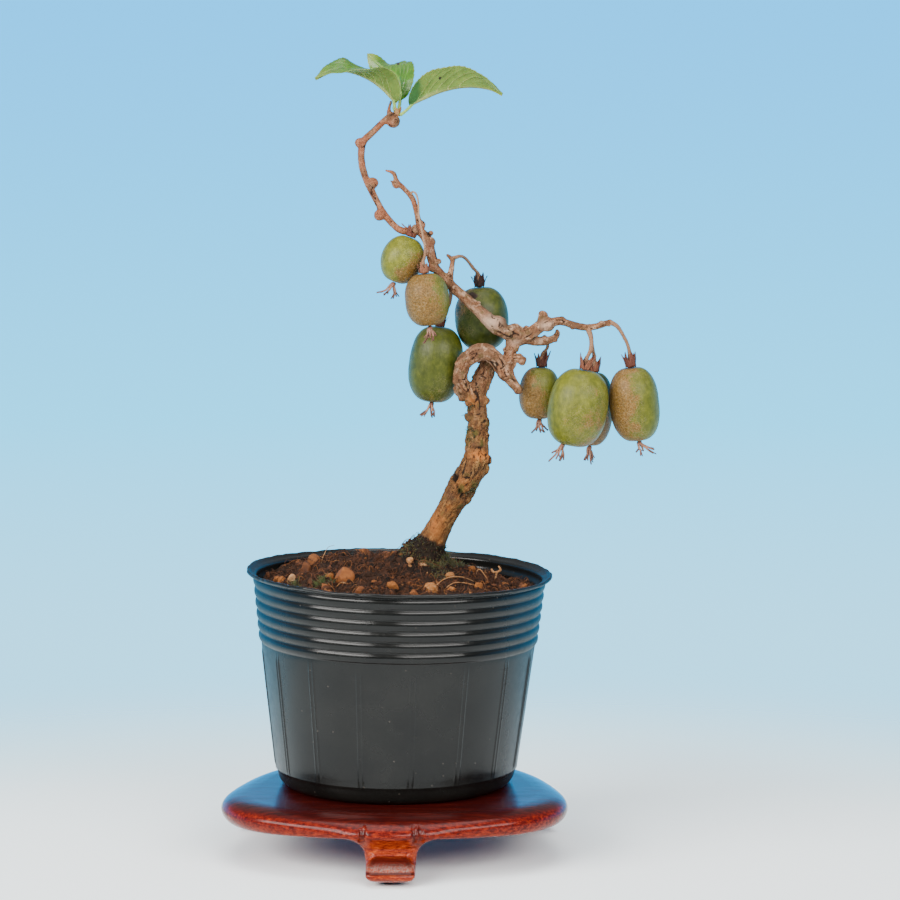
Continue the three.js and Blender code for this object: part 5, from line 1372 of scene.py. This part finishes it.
def leaf_face(name, deep, fresh, pale, rough, gloss):
    """One face of a leaf, with its pale veins and a fine net between them."""
    paint = Paint(name, Roughness=rough, Specular_IOR_Level=gloss, Subsurface_Weight=0.12, Subsurface_Scale=0.001,
                  Sheen_Weight=0.05)
    spot = paint.place()
    veins, side, along = paint.value("veins"), paint.value("side"), paint.value("along")
    mottle = paint.noise(spot, 0.55, 5.0, 0.6)
    net = paint.cells(spot, 1.7, "DISTANCE_TO_EDGE")
    color = paint.ramp(mottle, (0.3, deep), (0.7, fresh))
    color = paint.mix(paint.span(net, 0.06, 0.015, 0.0, 0.06), color, pale)
    color = paint.mix(paint.value("dark"), color, (0.02, 0.085, 0.012))
    color = paint.mix(paint.span(veins, 0.3, 0.85, 0.0, 0.55), color, pale)
    color = paint.mix(paint.span(side, 0.96, 1.0, 0.0, 0.25), color, pale)
    color = paint.mix(paint.span(along, 0.75, 1.0, 0.0, 0.5), color, (0.2, 0.25, 0.02))
    spots = paint.cells(spot, 0.23)
    color = paint.mix(paint.span(spots, 0.06, 0.03, 0.0, 0.6), color, (0.1, 0.07, 0.02))
    color = paint.mix(paint.span(paint.value("spot"), 0.3, 0.6), color, (0.012, 0.006, 0.003))
    relief = paint.sum("ADD", paint.sum("MULTIPLY", paint.span(net, 0.0, 0.15), 0.15), mottle)
    return paint.finish(Base_Color=color, Normal=paint.bump(relief, 0.08, 0.5))


def plain_green(name, low, high, rough=0.55):
    paint = Paint(name, Roughness=rough, Specular_IOR_Level=0.4, Subsurface_Weight=0.1, Subsurface_Scale=0.001)
    fine = paint.noise(paint.place(), 1.6, 4.0, 0.6)
    return paint.finish(Base_Color=paint.ramp(fine, (0.3, low), (0.7, high)), Normal=paint.bump(fine, 0.05, 0.4))


def make_leaves():
    upper = leaf_face("leaf_upper", (0.022, 0.085, 0.004), (0.06, 0.16, 0.006), (0.16, 0.26, 0.03), 0.32, 0.42)
    lower = leaf_face("leaf_lower", (0.07, 0.125, 0.014), (0.12, 0.185, 0.024), (0.34, 0.36, 0.13), 0.5, 0.25)
    margin = plain_green("leaf_margin", (0.1, 0.19, 0.03), (0.17, 0.25, 0.05))
    petiole = plain_green("petiole", (0.15, 0.27, 0.04), (0.26, 0.4, 0.09), 0.45)
    for seed, (name, leaf) in enumerate(LEAVES.items()):
        shape = Shape()
        leaf_part(shape, leaf, 1.7 * seed)
        petiole_part(shape, leaf, seed)
        shape.build(name + "_blade", [upper, lower, margin, petiole], "leaf", [name])


def make_bud_scales():
    """Small red-brown scales round the feet of the leaf stalks."""
    rng = np.random.default_rng(9)
    scales = Shape()
    for k in range(7):
        angle = 0.9 * k + rng.uniform(-0.2, 0.2)
        s, u = np.linspace(0.0, 1.0, 8)[:, None], np.linspace(-1.0, 1.0, 5)[None]
        size = rng.uniform(1.5, 2.4)
        width = 0.42 * size * np.sin(np.pi * (0.25 + 0.72 * s)) ** 0.8
        reach = 0.55 + 0.45 * s * s * size * rng.uniform(0.2, 0.8) + 0.12 * np.abs(u) * width
        around = angle + width * u / (0.9 + 0.5 * s)
        height = 184.2 + size * s + 0.0 * u
        middle = np.stack([reach * np.cos(around) + 0.6, reach * np.sin(around) - 0.5, height], axis=-1)
        points, upper, lower, edge = thin_solid(middle, 0.14)
        scales.add(points, [upper, lower, edge], tone=rng.uniform(0.3, 0.8))
    scales.build("bud_scales", [dry_fibre("bud_scale", (0.07, 0.018, 0.009), (0.22, 0.075, 0.025), (0.36, 0.23, 0.09))],
                 "bark", ["wood"])


make_leaves()
make_bud_scales()


# Soil: the surface as in the CAD source, and the crumbs, fibres and moss that only the scene has

SOIL = {"edge_depth": 4.6, "mound": 5.6, "mound_x": -3.0, "mound_y": 9.0, "spread": 30.0, "relief": 0.8,
        "rings": 84, "columns": 260}
HOLLOWS = [(24.0, 20.0, 10.0, 1.9), (-33.0, 2.0, 9.0, 1.6), (30.0, 8.0, 6.0, 0.8)]  # x, y, reach and depth
COLLAR = {"x": 6.2, "y": 4.4, "height": 8.5, "spread": 6.2}  # earth heaped against the trunk's foot
EDGE_HEIGHT = POT_RIM - SOIL["edge_depth"]
EDGE_RADIUS = float(rib_radius(EDGE_HEIGHT)) - POT["skin"] - 0.25
# Stones: x, y, size as in the CAD source, and how pale each is
PEBBLES = [
    (-13.8, -10.0, 3.1, 0.35), (-27.2, -5.0, 1.6, 0.95), (-9.5, 24.0, 2.2, 0.3), (-24.0, 6.0, 1.8, 0.08),
    (-18.0, -16.0, 1.6, 0.25), (-9.5, -21.0, 1.9, 0.2), (4.0, -22.0, 1.6, 0.4), (-4.0, 27.0, 1.9, 0.22),
]
# Chips of bark and grit that the photograph shows: x, y, size and tone
CHIPS = [
    (2.6, -1.6, 1.1, 0.93), (6.0, -3.4, 0.9, 0.97), (8.0, -16.5, 1.7, 0.9), (13.0, -15.0, 1.2, 0.88),
    (-1.5, -16.5, 1.5, 0.85), (-29.5, -1.5, 1.3, 0.84), (-31.0, 2.5, 1.2, 0.8), (-22.0, 13.5, 2.1, 0.78),
    (-17.5, -7.5, 1.6, 0.86), (-6.0, -12.0, 1.3, 0.8), (12.5, -6.0, 1.3, 0.9), (20.0, -10.0, 1.4, 0.85),
    (26.5, -3.0, 1.3, 0.84), (-1.5, 23.5, 1.4, 0.86), (-14.5, 22.0, 1.4, 0.83), (18.0, 12.0, 1.6, 0.85),
]
CRUMBS = [(1, 620, 0.5, 1.15), (0, 5800, 0.18, 0.5)]  # fineness, number, least and greatest size
# Moss on the soil: x, y, reach, number of blades and how yellow it is
MOSS = [
    (8.0, -1.0, 3.4, 520, 0.9), (11.6, 2.6, 2.2, 260, 0.6), (-18.6, -10.8, 2.4, 620, 0.35), (2.4, 1.2, 2.0, 120, 0.9),
    (9.5, 9.5, 3.0, 400, 0.55), (11.0, -6.0, 2.4, 160, 0.85), (-26.0, -9.5, 1.6, 140, 0.6), (16.0, 18.0, 3.0, 300, 0.5),
]
# Moss on the trunk: x, y, z, reach, number of blades and how yellow it is
TRUNK_MOSS = [
    (18.6, -2.4, 91.2, 1.5, 70, 0.95), (19.0, -0.5, 93.5, 1.6, 80, 0.85), (18.4, -2.4, 105.2, 1.5, 70, 0.9),
    (17.8, -1.4, 111.5, 1.8, 50, 0.9), (10.2, 4.6, 78.0, 2.4, 160, 0.6), (21.6, 1.8, 99.5, 1.8, 100, 0.7),
]
# The trunk's foot: the heights that moss and earth cling to, less slope for each mm of x past side
TRUNK_FOOT = {"from": 68.0, "to": 79.0, "slope": 0.45, "side": 6.6, "moss": 420, "earth": 480}
PALE_ROOTS = [
    [(8.5, -13.0, 0.4), (11.5, -11.2, 1.9), (15.5, -9.0, 2.0), (19.5, -6.0, 0.6)],
    [(11.0, -14.5, 0.3), (14.0, -11.0, 1.4), (18.5, -9.5, 1.2), (22.5, -9.0, 0.3)],
    [(24.2, 6.0, 0.2), (24.6, 5.8, 2.0), (25.5, 5.5, 3.0), (25.0, 5.3, 4.0)],
    [(24.7, 5.8, 2.2), (23.7, 5.6, 2.6), (23.2, 5.8, 3.2)],
    [(-15.5, -13.5, 0.3), (-14.3, -12.6, 0.8), (-12.8, -12.9, 0.6), (-11.2, -12.2, 0.3)],
    [(19.0, 2.0, 0.2), (20.0, 1.2, 2.2), (22.0, 0.8, 1.4), (23.0, -0.6, 0.3)],
]
STANDING_HAIR = [(-19.4, 12.0, 0.0, 0.09), (-19.0, 12.0, 1.9, 0.09), (-18.2, 11.9, 3.8, 0.08), (-17.3, 11.8, 5.2, 0.07),
                 (-15.8, 11.5, 5.7, 0.055)]


def soil_height(x, y):
    away = np.hypot(x - SOIL["mound_x"], y - SOIL["mound_y"]) / SOIL["spread"]
    mound = SOIL["mound"] * np.exp(-1.1 * away * away)
    lumps = 0.5 * np.sin(0.42 * x + 1.1) * np.cos(0.38 * y - 0.6)
    lumps = lumps + 0.5 * np.sin(0.93 * x - 0.71 * y + 2.0) * np.sin(0.81 * y + 0.33 * x)
    return EDGE_HEIGHT + mound + SOIL["relief"] * lumps


def ground(x, y):
    """The height of the loose surface, with its clods and the collar of earth at the trunk."""
    x, y = np.asarray(x, dtype=float), np.asarray(y, dtype=float)
    spots = np.stack([x, y, np.zeros_like(x)], axis=-1).reshape(-1, 3)
    clods = 0.75 * noise(spots * 0.22, 201) + 0.5 * noise(spots * 0.55, 202) + 0.22 * noise(spots * 1.3, 203)
    near = np.hypot(x - COLLAR["x"], y - COLLAR["y"]) / COLLAR["spread"]
    edge = fade(EDGE_RADIUS, EDGE_RADIUS - 4.0, np.hypot(x, y))
    sunk = sum(depth * np.exp(-((x - a) ** 2 + (y - b) ** 2) / reach ** 2) for a, b, reach, depth in HOLLOWS)
    heaped = soil_height(x, y) + clods.reshape(x.shape) * (0.35 + 0.65 * edge)
    return heaped + COLLAR["height"] * np.exp(-near * near) - sunk


def on_ground(spots, lift=0.0):
    """Points of x and y, set on the soil with their height, leaning with the pot."""
    return lean(np.column_stack([spots[:, 0], spots[:, 1], ground(spots[:, 0], spots[:, 1]) + lift]))


def soil_body():
    """The potful: its loose surface, and plain sides and floor that the drain holes show."""
    columns = SOIL["columns"]
    turns = 2.0 * np.pi * np.arange(columns) / columns
    reach = EDGE_RADIUS * np.linspace(1.0, 0.0, SOIL["rings"], endpoint=False)[::-1]
    x, y = reach[:, None] * np.cos(turns), reach[:, None] * np.sin(turns)
    grit = noise(np.stack([x, y, 0.0 * x], axis=-1).reshape(-1, 3) * 3.0, 204).reshape(x.shape)
    top = np.stack([x, y, ground(x, y) + 0.16 * grit], axis=-1)
    below = [(EDGE_RADIUS - 0.6, EDGE_HEIGHT - 1.2), (33.1, RIB_BASE), (29.2, POT_FOOT + 4.9), (26.6, POT_FOOT + 2.8)]
    sides = [np.stack([r * np.cos(turns), r * np.sin(turns), z + 0.0 * turns], axis=-1) for r, z in below]
    rings = np.concatenate([top, np.stack(sides)])
    count = len(rings) * columns
    middle = np.array([[0.0, 0.0, float(ground(0.0, 0.0))], [0.0, 0.0, POT_FOOT + 2.8]])
    ring = np.arange(columns)
    nexts = (ring + 1) % columns
    last = count - columns
    blocks = [grid_faces(len(rings), columns, closed=True, flip=True),
              np.stack([np.full(columns, count), ring, nexts], axis=1),
              np.stack([np.full(columns, count + 1), last + nexts, last + ring], axis=1)]
    return lean(np.vstack([rings.reshape(-1, 3), middle])), blocks


def scattered(rng, many, reach=0.985):
    """Places spread evenly over the soil, clear of the trunk."""
    away = EDGE_RADIUS * reach * np.sqrt(rng.uniform(0.0, 1.0, 2 * many))
    turn = rng.uniform(0.0, 2.0 * np.pi, 2 * many)
    spots = np.column_stack([away * np.cos(turn), away * np.sin(turn)])
    clear = np.hypot(spots[:, 0] - COLLAR["x"] - 0.6, spots[:, 1] - COLLAR["y"]) > 4.4
    return spots[clear][:many]


def soil_paint(name, rough=0.92):
    """Earth and plant bits: black where tone is 0, red-brown in the middle, orange and then pale at 1."""
    paint = Paint(name, Roughness=rough, Specular_IOR_Level=0.2)
    spot = paint.place()
    fine = paint.noise(spot, 1.6, 5.0, 0.7)
    shade = paint.swayed(paint.value("tone"), fine, 0.35)
    color = paint.ramp(shade, (0.0, (0.005, 0.003, 0.002)), (0.3, (0.018, 0.008, 0.004)), (0.55, (0.05, 0.019, 0.009)),
                       (0.74, (0.1, 0.036, 0.015)), (0.88, (0.21, 0.072, 0.016)), (1.0, (0.34, 0.2, 0.1)))
    return paint.finish(Base_Color=color, Normal=paint.bump(fine, 0.25, 0.8))


def make_soil():
    rng = np.random.default_rng(21)
    earth = soil_paint("earth")
    points, blocks = soil_body()
    damp = np.exp(-((np.hypot(points[:, 0] - 5.0, points[:, 1] - 1.0) / 7.0) ** 2))
    shape = Shape()
    shape.add(points, blocks, tone=np.clip(0.25 + 0.3 * layered(points * 0.35, 3, 205) - 0.3 * damp, 0.02, 0.6))
    shape.build("soil_surface", [earth], "potting_soil", ["soil"])

    crumbs = Shape()
    for detail, many, low, high in CRUMBS:
        spots = scattered(rng, many)
        many = len(spots)
        sizes = low + (high - low) * rng.uniform(0.0, 1.0, many) ** 2.2
        places = on_ground(spots, 0.15 * sizes)
        points, faces = turned_copies(ball(detail), places, sizes, rng, 0.3, (0.4, 1.1))
        tone = np.clip(rng.normal(0.38, 0.22, many), 0.02, 0.93)
        crumbs.add(points, [faces], tone=np.repeat(tone, len(points) // many))
    chips = np.array(CHIPS)
    places = on_ground(chips[:, :2], 0.25 * chips[:, 2])
    points, faces = turned_copies(ball(3), places, chips[:, 2], rng, 0.05, (0.6, 1.1))
    points += 0.22 * np.stack([noise(points * 0.9, 206 + k) for k in range(3)], axis=1)
    crumbs.add(points, [faces], tone=np.repeat(chips[:, 3], len(points) // len(chips)))
    crumbs.build("soil_crumbs", [earth], "potting_soil", ["soil"], smooth=False)


def wandering(rng, spots, steps, stride, lift):
    """Paths that wind over the soil from their starts, arching up between their ends."""
    many = len(spots)
    heading = rng.uniform(0.0, 2.0 * np.pi, many)
    bend = rng.normal(0.0, 0.42, many)
    paths = np.zeros((many, steps, 3))
    place = spots.copy()
    for k in range(steps):
        inside = np.hypot(place[:, 0], place[:, 1])
        place = place * np.minimum(1.0, (EDGE_RADIUS - 0.5) / np.maximum(inside, 1e-6))[:, None]
        paths[:, k, :2] = place
        place = place + stride[:, None] * np.column_stack([np.cos(heading), np.sin(heading)])
        heading = heading + bend + rng.normal(0.0, 0.25, many)
    s = np.linspace(0.0, 1.0, steps)[None]
    wave = np.sin(np.pi * s) * lift[:, None] + 0.2 * np.sin(9.0 * s + 7.0 * bend[:, None])
    flat = paths[:, :, :2].reshape(-1, 2)
    grounded = on_ground(flat, 0.12).reshape(many, steps, 3)
    grounded[:, :, 2] += wave - 0.7 * (np.abs(2.0 * s - 1.0) ** 6)
    return grounded


def make_fibres():
    rng = np.random.default_rng(22)
    fibres = Shape()
    many, steps = 1350, 12
    spots = scattered(rng, many, 0.95)
    many = len(spots)
    paths = wandering(rng, spots, steps, rng.uniform(0.2, 0.75, many), rng.uniform(0.1, 1.5, many) ** 1.3)
    thick = rng.uniform(0.045, 0.12, many)[:, None] * (1.0 - 0.45 * np.linspace(0.0, 1.0, steps))[None]
    points, blocks = tubes(paths, thick, 3)
    tone = np.clip(rng.normal(0.55, 0.16, many), 0.15, 0.9)
    fibres.add(points, blocks, tone=np.repeat(tone, steps * 3))
    for k, root in enumerate(PALE_ROOTS):
        spots = np.array(root)
        places = on_ground(spots[:, :2], spots[:, 2] - 0.2)
        sizes = 0.3 if k in (2, 3) else 0.12
        places, radii = curve([(*place, sizes) for place in places], 0.3)
        taper = 0.6 + 0.4 * np.sin(np.pi * np.linspace(0.1, 0.9, len(radii)))
        radii = radii * (1.0 + 0.25 * noise(places * 1.5, 207)) * taper
        points, blocks = tubes(places[None], radii[None], 8)
        fibres.add(points, blocks, tone=0.93)
    foot = float(ground(STANDING_HAIR[0][0], STANDING_HAIR[0][1]))
    places, radii = curve([(x, y, foot - 0.4 + z, r) for x, y, z, r in STANDING_HAIR], 0.3)
    points, blocks = tubes(places[None], radii[None], 6)
    fibres.add(points, blocks, tone=0.97)
    fibres.build("soil_fibres", [soil_paint("plant_fibre", 0.8)], "dry_fibre", ["soil"])


def blades_on(shape, rng, places, normals, low, high, yellow):
    """Short moss leaves, each a thin spike that bends away from the surface under it."""
    many = len(places)
    s = np.linspace(0.0, 1.0, 4)[None, :, None]
    way = unit(normals + rng.normal(0.0, 0.55, (many, 3)))
    droop = rng.normal(0.0, 0.35, (many, 3))
    length = rng.uniform(low, high, (many, 1, 1))
    paths = places[:, None] + length * (way[:, None] * s + droop[:, None] * s * s)
    radii = (0.09 * (1.0 - 0.75 * s[..., 0])) * rng.uniform(0.8, 1.6, (many, 1))
    points, blocks = tubes(paths, radii, 3)
    shade = np.repeat(np.linspace(0.0, 1.0, 4)[None], many, axis=0)
    shape.add(points, blocks, shade=shade.ravel().repeat(3),
              yellow=np.clip(yellow + rng.normal(0.0, 0.2, many), 0.0, 1.0).repeat(12))


def moss_paint():
    paint = Paint("moss", Roughness=0.7, Specular_IOR_Level=0.25, Sheen_Weight=0.1)
    yellow, shade = paint.value("yellow"), paint.value("shade")
    green = paint.mix(yellow, (0.025, 0.06, 0.004), (0.085, 0.072, 0.008))
    color = paint.mix(shade, (0.006, 0.006, 0.002), green)
    fine = paint.noise(paint.place(), 1.5, 3.0)
    return paint.finish(Base_Color=paint.mix(paint.span(fine, 0.5, 0.7, 0.0, 0.4), color, (0.018, 0.014, 0.006)))


def make_moss(bark_points, bark_normals):
    rng = np.random.default_rng(23)
    on_soil, on_trunk = Shape(), Shape()
    for x, y, reach, many, yellow in MOSS:
        away = reach * rng.uniform(0.0, 1.0, many) ** 0.6
        turn = rng.uniform(0.0, 2.0 * np.pi, many)
        spots = np.column_stack([x + away * np.cos(turn), y + away * np.sin(turn)])
        spots = spots[noise(np.column_stack([spots, 0.0 * away]) * 0.9, 208) > -0.25]
        spots = spots[np.hypot(spots[:, 0], spots[:, 1]) < EDGE_RADIUS - 0.6]
        step = 0.3
        slope = np.column_stack([ground(spots[:, 0] + step, spots[:, 1]) - ground(spots[:, 0], spots[:, 1]),
                                 ground(spots[:, 0], spots[:, 1] + step) - ground(spots[:, 0], spots[:, 1])]) / step
        normals = unit(np.column_stack([-slope, np.ones(len(spots))]))
        blades_on(on_soil, rng, on_ground(spots, 0.05), normals, 0.6, 1.5, yellow)
    for x, y, z, reach, many, yellow in TRUNK_MOSS:
        near = np.flatnonzero(np.linalg.norm((bark_points - [x, y, z]) / [1.0, 1.0, 1.3], axis=1) < reach)
        near = near[noise(bark_points[near] * 1.1, 209) > -0.15]
        chosen = near[rng.integers(0, len(near), many)] if len(near) else near
        blades_on(on_trunk, rng, bark_points[chosen], bark_normals[chosen], 0.25, 0.75, yellow)
    moss_many, earth_many = TRUNK_FOOT["moss"], TRUNK_FOOT["earth"]
    upper_end = TRUNK_FOOT["to"] - TRUNK_FOOT["slope"] * (bark_points[:, 0] - TRUNK_FOOT["side"])
    foot = np.flatnonzero((bark_points[:, 2] > TRUNK_FOOT["from"]) & (bark_points[:, 2] < upper_end))
    foot = foot[rng.integers(0, len(foot), moss_many + earth_many)]
    mossy, earthy = foot[:moss_many], foot[moss_many:]
    blades_on(on_trunk, rng, bark_points[mossy], bark_normals[mossy], 0.3, 0.8, 0.85)
    sizes = rng.uniform(0.18, 0.5, earth_many)
    spots, faces = turned_copies(ball(1), bark_points[earthy], sizes, rng, 0.3, (0.5, 1.1))
    tone = np.clip(rng.normal(0.25, 0.16, earth_many), 0.02, 0.7)
    clinging = Shape()
    clinging.add(spots, [faces], tone=np.repeat(tone, len(spots) // earth_many))
    clinging.build("clinging_earth", [soil_paint("clinging_earth")], "potting_soil", ["wood"], smooth=False)
    moss = moss_paint()
    on_soil.build("soil_moss", [moss], "leaf", ["soil"])
    on_trunk.build("trunk_moss", [moss], "leaf", ["wood"])


def stone():
    paint = Paint("stone", Roughness=0.82, Specular_IOR_Level=0.3)
    spot = paint.place()
    fine, coarse = paint.noise(spot, 1.8, 5.0, 0.7), paint.noise(spot, 0.6, 4.0)
    shade = paint.swayed(paint.value("tone"), coarse, 0.7)
    color = paint.ramp(shade, (0.0, (0.045, 0.015, 0.006)), (0.35, (0.16, 0.048, 0.009)), (0.7, (0.22, 0.08, 0.02)),
                       (1.0, (0.3, 0.17, 0.08)))
    color = paint.mix(paint.span(fine, 0.55, 0.72, 0.0, 0.6), color, (0.05, 0.019, 0.008))
    return paint.finish(Base_Color=color, Normal=paint.bump(fine, 0.2, 0.7))


def make_pebbles():
    """Rough stones, each a little flat, on the places and in the sizes of the CAD ones."""
    rng = np.random.default_rng(24)
    pebbles = Shape()
    points, faces = ball(4)
    for k, (x, y, size, tone) in enumerate(PEBBLES):
        cuts = unit(rng.normal(size=(10, 3)))
        reach = np.full(len(points), 1.0)
        for cut, depth in zip(cuts, rng.uniform(0.48, 0.82, len(cuts))):
            reach = np.minimum(reach, depth / np.maximum(points @ cut, 0.05))
        reach *= 1.0 + 0.05 * noise(points * 1.6, 210 + k) + 0.02 * noise(points * 5.0, 220 + k)
        shaped = points * reach[:, None] * size * np.array([0.92, 0.92, 0.98])
        place = lean(np.array([[x, y, float(soil_height(x, y)) + 0.25 * size]]))
        pebbles.add(shaped + place, [faces], tone=tone)
    names = ["pebble_%d" % (k + 1) for k in range(len(PEBBLES))]
    pebbles.build("pebbles", [stone()], "pebble_stone", names)


make_soil()
make_fibres()
make_moss(*BARK_SKIN)
make_pebbles()
